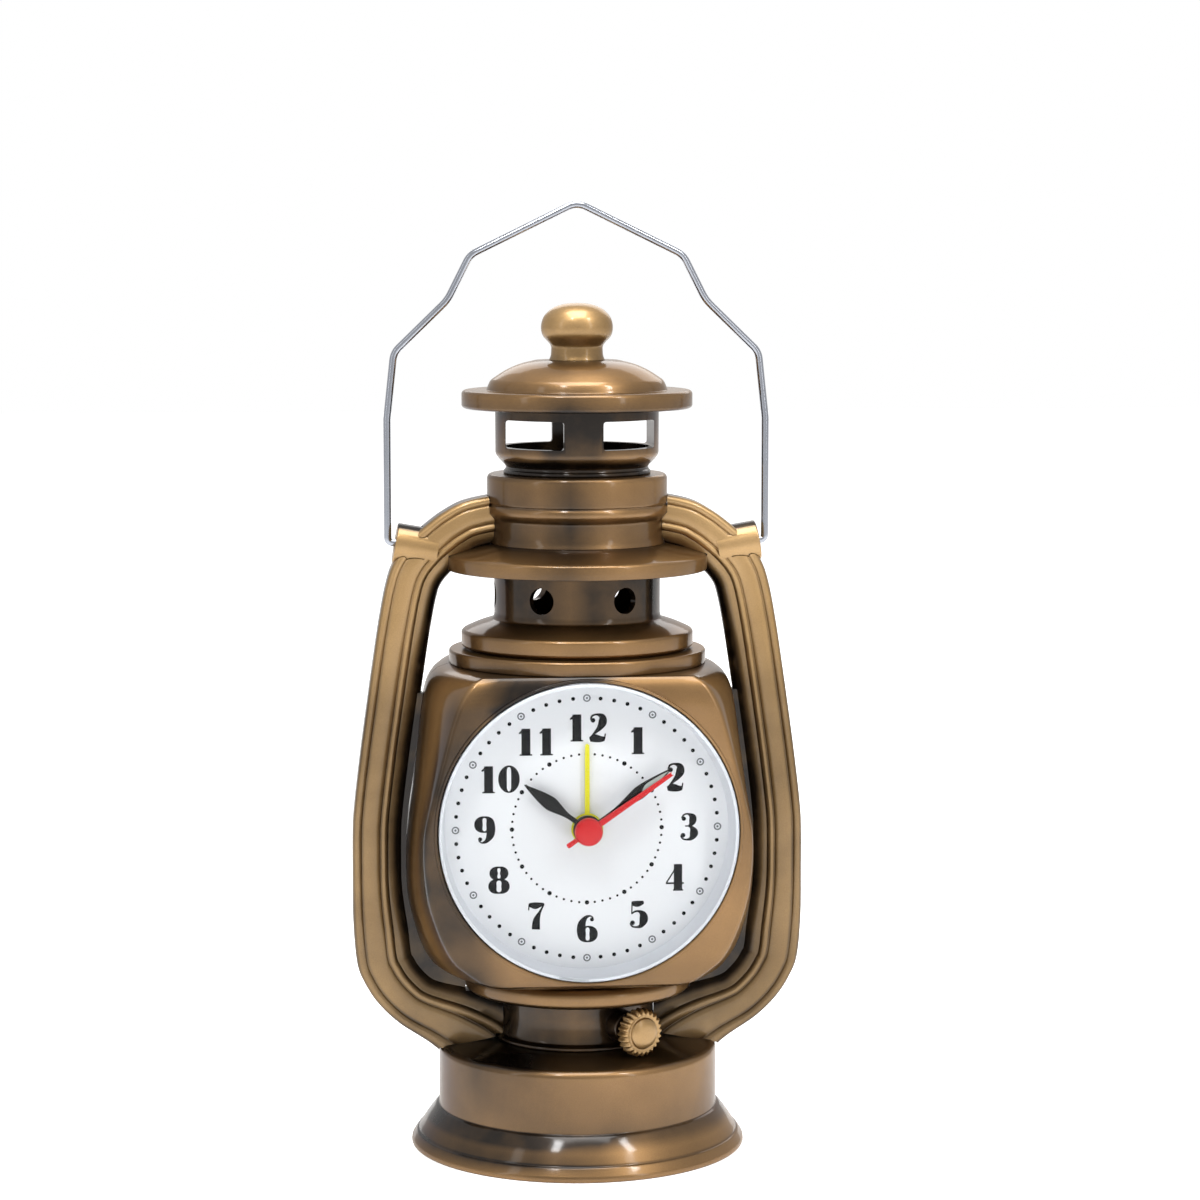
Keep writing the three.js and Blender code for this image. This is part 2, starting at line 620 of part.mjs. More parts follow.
/** A side tube at +X: its section carried along the outline, wider towards the foot. */
function armSweep() {
  const outline = armOutline();
  const section = armSection();
  return loft(Array.from({ length: arm.steps + 1 }, (_, i) => {
    const place = outline.getPointAt(i / arm.steps);
    const way = outline.getTangentAt(i / arm.steps);
    const growth = armGrowth(place.z);
    return section.map(([depth, inward]) => (
      new THREE.Vector3(place.x + way.z * inward * growth, depth, place.z - way.x * inward * growth)
    ));
  }));
}

/** The thin wall that fills the space between a side tube at +X and the globe. */
function armWeb() {
  const rise = armTop - armBottom;
  const outline = armWebShares.map(([reachShare, riseShare]) => (
    [armReach * reachShare, armBottom + rise * riseShare]
  ));
  return plateAlongY(outline, -arm.webDepth / 2, arm.webDepth / 2);
}

function earRod(side, radius, from, to) {
  const slope = Math.tan(ear.tiltAngle);
  const rod = rodAlongZ(radius, from, to, smallSides * 2).rotateY(quarterTurn - ear.tiltAngle);
  const lift = earHeight - earFace * slope;
  const placed = rod.translate(0, 0, lift);
  return side > 0 ? placed : placed.rotateZ(Math.PI);
}

/** One side tube, trimmed where it meets the collar, the tank, the neck and the globe. */
function sideArm(side) {
  const tube = join(armSweep(), armWeb());
  const sweep = side > 0 ? tube : tube.rotateZ(Math.PI);
  const slant = Math.cos(ear.tiltAngle);
  const boss = earRod(side, ear.radius, earRoot / slant, earFace / slant);
  const bore = rodAlongZ(wire.radius + fit, earFace - wire.tipDepth - fit, earFace + overrun)
    .rotateY(quarterTurn).translate(0, 0, earHeight);
  const collarRod = rodAlongZ(collar.radius + fit, skirt.bottom, collar.top + overrun, roundSides);
  const collarCutter = onGlobe(collarRod);
  const skirtCutter = onGlobe(turned([
    [0, skirt.bottom - fit], [skirt.radius + fit, skirt.bottom - fit],
    [skirt.radius + fit, skirt.rimTop + fit], [collar.lowRadius + fit, skirt.top + fit],
    [0, skirt.top + fit],
  ]));
  const tankCutter = turned([
    [0, 0], [tank.bandRadius, 0], [tank.radius + fit, tank.wallFootHeight],
    [tank.radius + fit, tank.shoulderHeight], [tank.topRadius, tank.topHeight + fit],
    [0, tank.topHeight + fit],
  ]);
  const neckCutter = turned([
    [0, tank.topHeight], [neck.footRadius + fit, tank.topHeight],
    [neck.footRadius + fit, tank.topHeight + neck.footStep + fit],
    [neck.radius + fit, tank.topHeight + neck.footStep + fit], [neck.radius + fit, neckTop - fit],
    [footRing.radius + fit, neckTop - fit], [footRing.radius + fit, footRingTop + fit],
    [0, footRingTop + fit],
  ]);
  const globeCutter = barrel(-fit, globe.bottom, globe.top);
  const boreTool = side > 0 ? bore : bore.rotateZ(Math.PI);
  return cut(join(sweep, boss), boreTool, collarCutter, skirtCutter, tankCutter, neckCutter, globeCutter);
}

/** The carrying wire: both tips turn inwards into the ears. */
function carryingWire() {
  const { earGap, tipDepth, rise, bend, radius, steps, sides } = wire;
  const leg = earFace + earGap;
  const corners = [[1, 0], ...wireBendShares, [0, 1]].map(([reachShare, riseShare]) => (
    new THREE.Vector2(leg * reachShare, earHeight + rise * riseShare)
  ));
  const tip = [earFace - tipDepth, earHeight];
  const half = corners.flatMap((corner, i) => {
    const before = i === 0 ? new THREE.Vector2(...tip) : corners[i - 1];
    const after = i === corners.length - 1 ? null : corners[i + 1];
    return [before, after].filter((other) => other).map((other) => (
      other.clone().sub(corner).setLength(bend).add(corner).toArray()
    ));
  });
  const right = [tip, ...half];
  const points = [...right, ...right.slice().reverse().map(([x, z]) => [-x, z])]
    .map(([x, z]) => new THREE.Vector3(x, 0, z));
  const path = new THREE.CatmullRomCurve3(points, false, 'centripetal');
  return new THREE.ExtrudeGeometry(roundSection(radius, sides), { steps, extrudePath: path });
}

// Dial, glass and hands

function dialPlate() {
  return atClockAxis(tubeAlongY(dial.holeRadius, dial.radius, dial.faceY, dialBackY));
}

function dialSurround() {
  return atClockAxis(turnedAlongY([
    [dial.radius - surround.rimInset, lens.innerY], [lensRadius, lens.innerY], [lensRadius, dial.faceY],
    [dial.radius - surround.dialInset, dial.faceY],
  ]));
}

function dialLens() {
  const { innerY, thickness, edge } = lens;
  const outerY = innerY - thickness;
  return atClockAxis(turnedAlongY([
    [0, outerY], [lensRadius - edge, outerY], [lensRadius, outerY + edge], [lensRadius, innerY], [0, innerY],
  ]));
}

/** A hand pointing to twelve: a blade of width and length shares round a hub with a bore. */
function handPiece(size, bladeShares, frontY, bore, extras = []) {
  const outline = bladeShares.map(([widthShare, lengthShare]) => (
    [size.width * widthShare, size.length * lengthShare]
  ));
  const mirrored = outline.filter(([x]) => x > 0).map(([x, z]) => [-x, z]).reverse();
  const blade = plateAlongY([...outline, ...mirrored], frontY, frontY + hand.thickness);
  const hub = rodAlongY(size.hub, frontY, frontY + hand.thickness, smallSides * 2);
  const hole = rodAlongY(bore + pressGap, frontY - pressGap, frontY + overrun, pipeSides);
  return atClockAxis(cut(join(blade, hub, ...extras), hole).rotateY(size.angle));
}

function secondHandPiece() {
  const { capHeight, hub, tail, width } = secondHand;
  const cap = turnedAlongY([
    [0, secondHandY - capHeight], [hub * capTopShare, secondHandY - capHeight],
    [hub, secondHandY - capHeight / 2], [hub, secondHandY + pressGap], [0, secondHandY + pressGap],
  ], smallSides * 2);
  const counterweight = block([-width, secondHandY, -tail], [width, secondHandY + hand.thickness, 0]);
  return handPiece(secondHand, barShares, secondHandY, arborRadius, [cap, counterweight]);
}

// Movement: wheels, arbors and pipes

/** Place of a wheel from the clock axis, as [x, z] from that axis. */
function polar([x, z], direction, distance) {
  return [x + distance * Math.cos(direction), z + distance * Math.sin(direction)];
}

function centreDistance(teethA, teethB, module) {
  return module * ((teethA + teethB) / 2 + backlashShare);
}

/** Angle of a tooth of wheel B so that it meshes with wheel A, which lies the other way. */
function meshPhase(teethA, phaseA, direction, teethB) {
  const pastTip = ((direction - phaseA) * teethA) / fullTurn;
  return direction + Math.PI - ((1 / 2 - pastTip) * fullTurn) / teethB;
}

function toothedOutline(count, module, phase) {
  const tip = module * (count / 2 + toothTipShare);
  const root = module * (count / 2 - toothRootShare);
  return Array.from({ length: count * 2 }, (_, i) => {
    const angle = phase + (i / (count * 2)) * fullTurn;
    const reach = i % 2 === 0 ? tip : root;
    return [reach * Math.cos(angle), reach * Math.sin(angle)];
  });
}

function wheelAt(count, module, phase, layerCount) {
  const front = layerY(layerCount);
  return plateAlongY(toothedOutline(count, module, phase), front, front + layer.wheel);
}

const teeth = {
  rotor: 8, intermediate: 40, pinion: 8, second: 48, third: 60, centre: 64, cannon: 10, motion: 30,
  motionPinion: 8, hour: 32, alarm: 30, timeSet: 10,
};
const direction = {
  third: quarterTurn, intermediate: -quarterTurn, rotor: -quarterTurn / 2, motion: quarterTurn * 16 / 9,
  alarmSet: quarterTurn * 2 / 9,
};
const thirdDistance = centreDistance(teeth.pinion, teeth.centre, gearModule);
const secondModule = thirdDistance / centreDistance(teeth.pinion, teeth.third, 1);
const clockCentre = [0, 0];
const thirdPlace = polar(clockCentre, direction.third, thirdDistance);
const intermediateDistance = centreDistance(teeth.pinion, teeth.second, gearModule);
const intermediatePlace = polar(clockCentre, direction.intermediate, intermediateDistance);
const rotorDistance = centreDistance(teeth.rotor, teeth.intermediate, gearModule);
const rotorPlace = polar(intermediatePlace, direction.rotor, rotorDistance);
const motionDistance = centreDistance(teeth.cannon, teeth.motion, motionModule);
const motionPlace = polar(clockCentre, direction.motion, motionDistance);
const timeSetDistance = centreDistance(teeth.timeSet, teeth.motion, motionModule);
const timeSetPlace = polar(motionPlace, direction.motion, timeSetDistance);
const alarmSetDistance = centreDistance(teeth.alarm, teeth.alarm, motionModule);
const alarmSetPlace = polar(clockCentre, direction.alarmSet, alarmSetDistance);
const motionPhase = meshPhase(teeth.cannon, 0, direction.motion, teeth.motion);

function setKnobPlaces() {
  return [timeSetPlace, alarmSetPlace];
}

function caseScrewPlaces() {
  const postX = caseBox.halfWidth - caseBox.postInset;
  const postZ = caseBox.halfHeight - caseBox.postInset;
  return [1, -1].map((side) => [side * postX, axisHeight + side * postZ]);
}

function placed(geometry, [x, z]) {
  return geometry.translate(x, 0, axisHeight + z);
}

function alarmWheel() {
  const tube = rodAlongY(pipe.alarmOuter, alarmHandY, layerY(layerOf.alarm) + layer.wheel, pipeSides);
  const bore = rodAlongY(pipe.alarmBore, alarmHandY - overrun, overrun, pipeSides);
  return placed(cut(join(wheelAt(teeth.alarm, motionModule, 0, layerOf.alarm), tube), bore), clockCentre);
}

function hourWheel() {
  const phase = meshPhase(teeth.motionPinion, 0, direction.motion + Math.PI, teeth.hour);
  const tube = rodAlongY(pipe.hourOuter, hourHandY, layerY(layerOf.hour) + layer.wheel, pipeSides);
  const bore = rodAlongY(pipe.hourBore, hourHandY - overrun, overrun, pipeSides);
  return placed(cut(join(wheelAt(teeth.hour, motionModule, phase, layerOf.hour), tube), bore), clockCentre);
}

function minutePipe() {
  const tube = rodAlongY(pipe.minuteOuter, minuteHandY, layerY(layerOf.plate) - fit, pipeSides);
  const bore = rodAlongY(pipe.minuteBore, minuteHandY - overrun, overrun, pipeSides);
  const cannon = wheelAt(teeth.cannon, motionModule, 0, layerOf.motion);
  return placed(cut(join(tube, cannon), bore), clockCentre);
}

function motionWheel() {
  const hub = rodAlongY(pipe.minuteOuter, layerY(layerOf.hour), layerY(layerOf.motion) + layer.wheel);
  const bore = rodAlongY(arborRadius + fit, caseInnerY, overrun);
  const pinion = wheelAt(teeth.motionPinion, motionModule, 0, layerOf.hour);
  const wheel = wheelAt(teeth.motion, motionModule, motionPhase, layerOf.motion);
  return placed(cut(join(hub, pinion, wheel), bore), motionPlace);
}

function centreWheel() {
  const hole = rodAlongY(pipe.minuteOuter + fit, layerY(layerOf.centre) - overrun, overrun, pipeSides);
  return placed(cut(wheelAt(teeth.centre, gearModule, 0, layerOf.centre), hole), clockCentre);
}

function thirdWheel() {
  const arbor = rodAlongY(arborRadius, caseInnerY + fit, backPlateY - fit);
  const phase = meshPhase(teeth.centre, 0, direction.third, teeth.pinion);
  const pinion = wheelAt(teeth.pinion, gearModule, phase, layerOf.centre);
  return placed(join(arbor, pinion, wheelAt(teeth.third, secondModule, 0, layerOf.third)), thirdPlace);
}

function secondWheel() {
  const arbor = rodAlongY(arborRadius, secondHandY, backPlateY - fit, pipeSides);
  const phase = meshPhase(teeth.third, 0, direction.third + Math.PI, teeth.pinion);
  const pinion = wheelAt(teeth.pinion, secondModule, phase, layerOf.third);
  return placed(join(arbor, pinion, wheelAt(teeth.second, gearModule, 0, layerOf.second)), clockCentre);
}

function intermediateWheel() {
  const arbor = rodAlongY(arborRadius, layerY(layerOf.plate) + layer.wheel + fit, backPlateY - fit);
  const phase = meshPhase(teeth.second, 0, direction.intermediate, teeth.pinion);
  const pinion = wheelAt(teeth.pinion, gearModule, phase, layerOf.second);
  const wheel = wheelAt(teeth.intermediate, gearModule, 0, layerOf.intermediate);
  return placed(join(arbor, pinion, wheel), intermediatePlace);
}

function rotorPiece() {
  const arbor = rodAlongY(arborRadius, layerY(layerOf.plate) + layer.wheel + fit, backPlateY - fit);
  const magnetY = layerY(layerOf.motor);
  const magnet = rodAlongY(motor.magnetRadius, magnetY, magnetY + layer.wheel);
  const phase = meshPhase(teeth.intermediate, 0, direction.rotor, teeth.rotor);
  const wheel = wheelAt(teeth.rotor, gearModule, phase, layerOf.intermediate);
  return placed(join(arbor, magnet, wheel), rotorPlace);
}

function statorPlate() {
  const { leftReach, rightReach, below, above, magnetRadius, magnetGap } = motor;
  const front = layerY(layerOf.motor);
  const bar = block([-leftReach, front, -below], [rightReach, front + layer.wheel, above]);
  const plate = placed(bar, rotorPlace);
  const hole = placed(rodAlongY(magnetRadius + magnetGap, front - overrun, overrun), rotorPlace);
  return cut(plate, hole);
}

function coilPiece() {
  const { coilRadius, coilHalfLength, coilDrop, flange, coilShift } = motor;
  const winding = rodAlongZ(coilRadius - flange, -coilHalfLength, coilHalfLength).rotateY(quarterTurn);
  const flanges = [-1, 1].map((side) => block(
    [side * coilHalfLength - flange, -coilRadius, -coilRadius],
    [side * coilHalfLength + flange, coilRadius, coilRadius],
  ));
  const coilY = layerY(layerOf.motor) - fit - coilRadius;
  return join(winding, ...flanges).translate(coilShift, coilY, axisHeight - coilDrop);
}

function circuitBoard() {
  const { left, right, bottom, top, thickness, chip } = board;
  const rear = backPlateY - fit;
  const plate = block([left, rear - thickness, bottom], [right, rear, top]);
  const middle = [(left + right) / 2, (bottom + top) / 2];
  const chipBlock = block([middle[0] - chip, rear - thickness * 2, middle[1] - chip],
    [middle[0] + chip, rear - thickness / 2, middle[1] + chip]);
  return join(plate, chipBlock).translate(0, 0, axisHeight);
}

/** The front half of the movement case: a tray with walls, two screw posts and the motion pin. */
function movementFrontCase() {
  const { halfWidth, halfHeight, wall: caseWall, postRadius } = caseBox;
  const low = axisHeight - halfHeight;
  const high = axisHeight + halfHeight;
  const outer = block([-halfWidth, caseFrontY, low], [halfWidth, backPlateY, high]);
  const inner = block([-halfWidth + caseWall, caseInnerY, low + caseWall],
    [halfWidth - caseWall, backPlateY + overrun, high - caseWall]);
  const posts = caseScrewPlaces().map(([x, z]) => (
    rodAlongY(postRadius, caseFrontY + fit, backPlateY).translate(x, 0, z)
  ));
  const holes = caseScrewPlaces().map(([x, z]) => (
    rodAlongY(screw.radius + fit, caseFrontY - overrun, overrun).translate(x, 0, z)
  ));
  const pinEnd = layerY(layerOf.motion) + layer.wheel;
  const pin = placed(rodAlongY(arborRadius, caseFrontY + fit, pinEnd), motionPlace);
  const pipeRod = rodAlongY(pipe.alarmOuter + fit, caseFrontY - overrun, caseInnerY + fit, pipeSides);
  const pipeHole = placed(pipeRod, clockCentre);
  return cut(join(cut(outer, inner), ...posts, pin), pipeHole, ...holes);
}

function stemHoles() {
  return setKnobPlaces().map((place) => (
    placed(rodAlongY(setKnob.stemRadius + fit, caseFrontY, coverFaceY + overrun), place)
  ));
}

function movementMiddlePlate() {
  const halfWidth = caseBox.halfWidth - caseBox.postInset - caseBox.postRadius - fit;
  const halfHeight = caseBox.halfHeight - caseBox.wall - fit;
  const front = layerY(layerOf.plate);
  const plate = block([-halfWidth, front, axisHeight - halfHeight], [halfWidth, front + layer.wheel,
    axisHeight + halfHeight]);
  const arborHoles = [clockCentre, thirdPlace].map((place) => (
    placed(rodAlongY(arborRadius + fit, front - overrun, overrun), place)
  ));
  return cut(plate, ...arborHoles, ...stemHoles());
}

function movementBackPlate() {
  const { halfWidth, halfHeight } = caseBox;
  const plate = block([-halfWidth, backPlateY, axisHeight - halfHeight], [halfWidth, backPlateRearY,
    axisHeight + halfHeight]);
  const screwHoles = caseScrewPlaces().map(([x, z]) => (
    rodAlongY(screw.radius + fit, backPlateY - overrun, overrun).translate(x, 0, z)
  ));
  const leadHoles = [lead.blackX, lead.redX].map((x) => (
    rodAlongY(lead.radius + fit, backPlateY - overrun, overrun).translate(x, 0, axisHeight - lead.boardDrop)
  ));
  return cut(plate, ...screwHoles, ...leadHoles, ...stemHoles());
}

/** A screw pointing to -Y from the face it is driven into. */
function screwFromBack(faceY, tipY) {
  return turnedAlongY([
    [0, tipY], [screw.radius, tipY], [screw.radius, faceY], [screw.headRadius, faceY],
    [screw.headRadius, faceY + screw.headHeight], [0, faceY + screw.headHeight],
  ], smallSides);
}

/** A setting knob at the back with its stem and the wheel that it drives. */
function settingKnob(place, wheel, wheelFrontY) {
  const { radius, thickness, standOff, flutes, fluteDepth, stemRadius } = setKnob;
  const faceY = coverFaceY + standOff;
  const stem = rodAlongY(stemRadius, wheelFrontY, faceY + thickness / 2);
  const knob = plateAlongY(flutedOutline(radius, fluteDepth, flutes), faceY, faceY + thickness);
  return placed(join(wheel, stem, knob), place);
}

function timeSetKnob() {
  const phase = meshPhase(teeth.motion, motionPhase, direction.motion, teeth.timeSet);
  const wheel = wheelAt(teeth.timeSet, motionModule, phase, layerOf.motion);
  return settingKnob(timeSetPlace, wheel, layerY(layerOf.motion));
}

function alarmSetKnob() {
  const phase = meshPhase(teeth.alarm, 0, direction.alarmSet, teeth.alarm);
  const wheel = wheelAt(teeth.alarm, motionModule, phase, layerOf.alarm);
  return settingKnob(alarmSetPlace, wheel, layerY(layerOf.alarm));
}

// Back cover, battery and alarm parts

const cellY = coverInnerY - cell.gap - cell.radius;
const cellHeight = axisHeight - cell.drop;
const trayHalfWidth = cell.length / 2 + contact.gap + contact.thickness + fit;
const trayHalfHeight = cell.radius + cell.gap;
const trayFloorY = cellY - cell.radius - cell.gap;
const contactInnerX = cell.length / 2 + contact.gap;
const contactTipY = trayFloorY - cell.wall - contact.halfWidth;

function rearCover() {
  const disc = atClockAxis(rodAlongY(coverRadius, coverInnerY, coverFaceY, roundSides));
  const doorHole = block([-door.halfWidth - fit, coverInnerY - overrun, cellHeight - door.halfHeight - fit],
    [door.halfWidth + fit, coverFaceY + overrun, cellHeight + door.halfHeight + fit]);
  const slotHalf = (switchKnob.travel + switchKnob.stemWidth) / 2 + fit;
  const slotHeight = switchKnob.stemHeight / 2 + fit;
  const switchHeight = axisHeight + switchKnob.rise;
  const slot = block([-slotHalf, coverInnerY - overrun, switchHeight - slotHeight],
    [slotHalf, coverFaceY + overrun, switchHeight + slotHeight]);
  const screwHoles = coverScrewPlaces().flatMap(([x, z]) => [
    rodAlongY(screw.radius + fit, coverInnerY - overrun, coverFaceY + overrun).translate(x, 0, z),
    rodAlongY(screw.headRadius + fit, coverFaceY - screw.headHeight, coverFaceY + overrun).translate(x, 0, z),
  ]);
  const soundHoles = ringPlaces(buzzer.holes, buzzer.radius / 2).map(([x, z]) => (
    rodAlongY(buzzer.holeRadius, coverInnerY - overrun, coverFaceY + overrun, buzzer.holeSides)
      .translate(x, 0, axisHeight - buzzer.drop + z)
  ));
  return cut(disc, doorHole, slot, ...screwHoles, ...soundHoles, ...stemHoles());
}

function batteryDoor() {
  const { halfWidth, halfHeight, grip, gripDepth, gripHeight } = door;
  const plate = block([-halfWidth, coverInnerY + fit, cellHeight - halfHeight], [halfWidth, coverFaceY,
    cellHeight + halfHeight]);
  const grooves = [-1, 0, 1].map((row) => {
    const z = cellHeight + row * gripHeight * 2;
    return block([halfWidth - grip * 3, coverFaceY - gripDepth, z - gripHeight / 2], [halfWidth - grip,
      coverFaceY + overrun, z + gripHeight / 2]);
  });
  return cut(plate, ...grooves);
}

function batteryTray() {
  const outer = block(
    [-trayHalfWidth - door.rim, trayFloorY - cell.wall, cellHeight - trayHalfHeight - door.rim],
    [trayHalfWidth + door.rim, coverInnerY, cellHeight + trayHalfHeight + door.rim],
  );
  const inner = block([-trayHalfWidth, trayFloorY, cellHeight - trayHalfHeight],
    [trayHalfWidth, coverInnerY + overrun, cellHeight + trayHalfHeight]);
  const slots = [-1, 1].map((side) => {
    const middle = side * (contactInnerX + contact.thickness / 2);
    const half = contact.thickness / 2 + fit;
    return block([middle - half, contactTipY, cellHeight - contact.halfWidth - fit],
      [middle + half, trayFloorY + cell.wall, cellHeight + contact.halfWidth + fit]);
  });
  return cut(outer, inner, ...slots);
}

function batteryCell() {
  const { radius, length, nub, nubRadius } = cell;
  const body = turned([
    [0, -length / 2], [radius, -length / 2], [radius, length / 2 - nub], [nubRadius, length / 2 - nub],
    [nubRadius, length / 2], [0, length / 2],
  ], smallSides * 2);
  return body.rotateY(quarterTurn).translate(0, cellY, cellHeight);
}

function batteryContact(side) {
  const [near, far] = [side * contactInnerX, side * (contactInnerX + contact.thickness)];
  return block([Math.min(near, far), contactTipY, cellHeight - contact.halfWidth],
    [Math.max(near, far), cellY + contact.halfWidth, cellHeight + contact.halfWidth]);
}

function alarmSwitch() {
  const { width, height, proud, travel, stemWidth, stemHeight, rise, tail } = switchKnob;
  const middle = -travel / 2;
  const z = axisHeight + rise;
  const outside = block([middle - width / 2, coverFaceY + fit, z - height / 2],
    [middle + width / 2, coverFaceY + fit + proud, z + height / 2]);
  const stem = block([middle - stemWidth / 2, coverInnerY - tail, z - stemHeight / 2],
    [middle + stemWidth / 2, coverFaceY + fit + proud / 2, z + stemHeight / 2]);
  const keeper = block([middle - width / 2, coverInnerY - tail, z - height / 2],
    [middle + width / 2, coverInnerY - fit, z + height / 2]);
  return join(outside, stem, keeper);
}

function buzzerCan() {
  const { radius, height, drop } = buzzer;
  const can = rodAlongY(radius, coverInnerY - height, coverInnerY, smallSides * 2);
  return can.translate(0, 0, axisHeight - drop);
}

/** An internal lead from a battery contact through the back plate to the circuit board. */
function batteryLead(side, boardX) {
  const start = side * (contactInnerX + contact.thickness / 2);
  const clearY = contactTipY - fit;
  const midY = (clearY + backPlateRearY) / 2;
  const low = cellHeight;
  const high = axisHeight - lead.boardDrop;
  const places = [
    [start, clearY, low], [start, clearY - lead.bend, low], [start - side * lead.bend, midY, low],
    [boardX + side * lead.bend, midY, high], [boardX, backPlateRearY + lead.bend, high],
    [boardX, backPlateY, high],
  ];
  const points = places.map((place) => new THREE.Vector3(...place));
  const path = new THREE.CatmullRomCurve3(points, false, 'centripetal');
  const section = roundSection(lead.radius, lead.sides);
  return new THREE.ExtrudeGeometry(section, { steps: lead.steps, extrudePath: path });
}

// Assembly

const finishes = {
  bronze: { color: 0xa57d52, roughness: 0.35, metalness: 0.6 },
  gold: { color: 0xc79a5e, roughness: 0.3, metalness: 0.7 },
  chrome: { color: 0xd9dcdf, roughness: 0.1, metalness: 1 },
  white: { color: 0xf2f2ee, roughness: 0.5, metalness: 0 },
  pale: { color: 0xc9cacb, roughness: 0.4, metalness: 0.1 },
  glass: { color: 0xffffff, roughness: 0.02, metalness: 0, transparent: true, opacity: 0.15 },
  black: { color: 0x161616, roughness: 0.5, metalness: 0 },
  red: { color: 0xcd191e, roughness: 0.4, metalness: 0 },
  yellow: { color: 0xd7cd3c, roughness: 0.4, metalness: 0 },
  nylon: { color: 0xe4e0d2, roughness: 0.5, metalness: 0 },
  steel: { color: 0x9a9da0, roughness: 0.3, metalness: 1 },
  copper: { color: 0xb4652f, roughness: 0.4, metalness: 0.9 },
  green: { color: 0x1f6b3a, roughness: 0.6, metalness: 0 },
};

const lantern = new THREE.Group();

function add(name, geometry, finish) {
  const mesh = new THREE.Mesh(geometry, new THREE.MeshStandardMaterial(finishes[finish]));
  mesh.name = name;
  lantern.add(mesh);
}

add('tank_shell', tankShell(), 'bronze');
add('base_plate', bottomPlate(), 'black');
ringPlaces(post.count, post.ringRadius).forEach(([x, y], i) => {
  add(`base_screw_${i + 1}`, upwardScrew().translate(x, y, 0), 'steel');
});
add('burner_neck', burnerNeck(), 'bronze');
add('wick_knob', wickKnob(), 'gold');
add('foot_ring', footRingPiece(), 'bronze');
add('tie_bolt', tieBolt(), 'steel');
add('globe_front_shell', globeFrontShell(), 'bronze');
add('globe_rear_shell', globeRearShell(), 'bronze');
add('shoulder_ring', onGlobe(shoulderRing()), 'bronze');
add('vent_neck', onGlobe(ventNeck()), 'bronze');
add('chimney_skirt', onGlobe(chimneySkirt()), 'bronze');
add('chimney_collar', onGlobe(chimneyCollar()), 'bronze');
add('gallery', onGlobe(galleryRing()), 'bronze');
add('chimney_cap', onGlobe(chimneyCap()), 'bronze');
add('finial', onGlobe(finialKnob()), 'gold');
add('left_arm', sideArm(-1), 'gold');
add('right_arm', sideArm(1), 'gold');
add('bail', carryingWire(), 'chrome');
add('dial_plate', dialPlate(), 'white');
add('dial_surround', dialSurround(), 'pale');
add('dial_lens', dialLens(), 'glass');
add('alarm_hand', handPiece(alarmHand, barShares, alarmHandY, pipe.alarmOuter), 'yellow');
add('hour_hand', handPiece(hourHand, leafShares, hourHandY, pipe.hourOuter), 'black');
add('minute_hand', handPiece(minuteHand, leafShares, minuteHandY, pipe.minuteOuter), 'black');
add('second_hand', secondHandPiece(), 'red');
add('movement_front_case', movementFrontCase(), 'black');
add('movement_middle_plate', movementMiddlePlate(), 'nylon');
add('movement_back_plate', movementBackPlate(), 'black');
add('alarm_wheel', alarmWheel(), 'nylon');
add('hour_wheel', hourWheel(), 'nylon');
add('minute_pipe', minutePipe(), 'nylon');
add('motion_wheel', motionWheel(), 'nylon');
add('centre_wheel', centreWheel(), 'nylon');
add('third_wheel', thirdWheel(), 'nylon');
add('second_wheel', secondWheel(), 'nylon');
add('intermediate_wheel', intermediateWheel(), 'nylon');
add('rotor', rotorPiece(), 'nylon');
add('stator', statorPlate(), 'steel');
add('coil', coilPiece(), 'copper');
add('circuit_board', circuitBoard(), 'green');
caseScrewPlaces().forEach(([x, z], i) => {
  const screwPiece = screwFromBack(backPlateRearY, dialBackY + fit * 2);
  add(`movement_screw_${i + 1}`, screwPiece.translate(x, 0, z), 'steel');
});
add('time_set_knob', timeSetKnob(), 'black');
add('alarm_set_knob', alarmSetKnob(), 'black');
add('rear_cover', rearCover(), 'black');
coverScrewPlaces().forEach(([x, z], i) => {
  const faceY = coverFaceY - screw.headHeight;
  add(`cover_screw_${i + 1}`, screwFromBack(faceY, coverInnerY - cover.lugDepth).translate(x, 0, z), 'steel');
});
add('alarm_switch', alarmSwitch(), 'black');
add('battery_door', batteryDoor(), 'black');
add('battery_tray', batteryTray(), 'black');
add('battery', batteryCell(), 'steel');
add('contact_negative', batteryContact(-1), 'steel');
add('contact_positive', batteryContact(1), 'steel');
add('buzzer', buzzerCan(), 'black');
add('lead_black', batteryLead(-1, lead.blackX), 'black');
add('lead_red', batteryLead(1, lead.redX), 'red');

export default lantern;
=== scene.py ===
"""Dresses the storm-lantern alarm clock: fine shapes, lacquer, dial printing, light and camera."""

import logging
import math
from dataclasses import dataclass, field
from enum import Enum
from typing import Callable, Iterable, Sequence

import bmesh
import bpy
from mathutils import Matrix, Vector


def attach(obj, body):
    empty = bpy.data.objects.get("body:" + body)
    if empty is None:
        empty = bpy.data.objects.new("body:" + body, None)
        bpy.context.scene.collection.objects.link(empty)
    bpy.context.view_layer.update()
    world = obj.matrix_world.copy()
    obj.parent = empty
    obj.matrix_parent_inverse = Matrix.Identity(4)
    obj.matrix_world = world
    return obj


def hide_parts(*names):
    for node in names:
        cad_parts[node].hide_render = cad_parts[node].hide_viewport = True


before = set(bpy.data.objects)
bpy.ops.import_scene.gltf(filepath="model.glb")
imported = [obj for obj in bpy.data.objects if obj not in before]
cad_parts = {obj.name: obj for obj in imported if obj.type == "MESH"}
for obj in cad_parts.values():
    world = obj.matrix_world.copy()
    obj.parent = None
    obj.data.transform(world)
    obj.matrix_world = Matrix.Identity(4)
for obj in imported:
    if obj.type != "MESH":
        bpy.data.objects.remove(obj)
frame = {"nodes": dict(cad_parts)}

LOG = logging.getLogger("lantern_clock")
MM = 0.001
FULL_TURN = 2 * math.pi
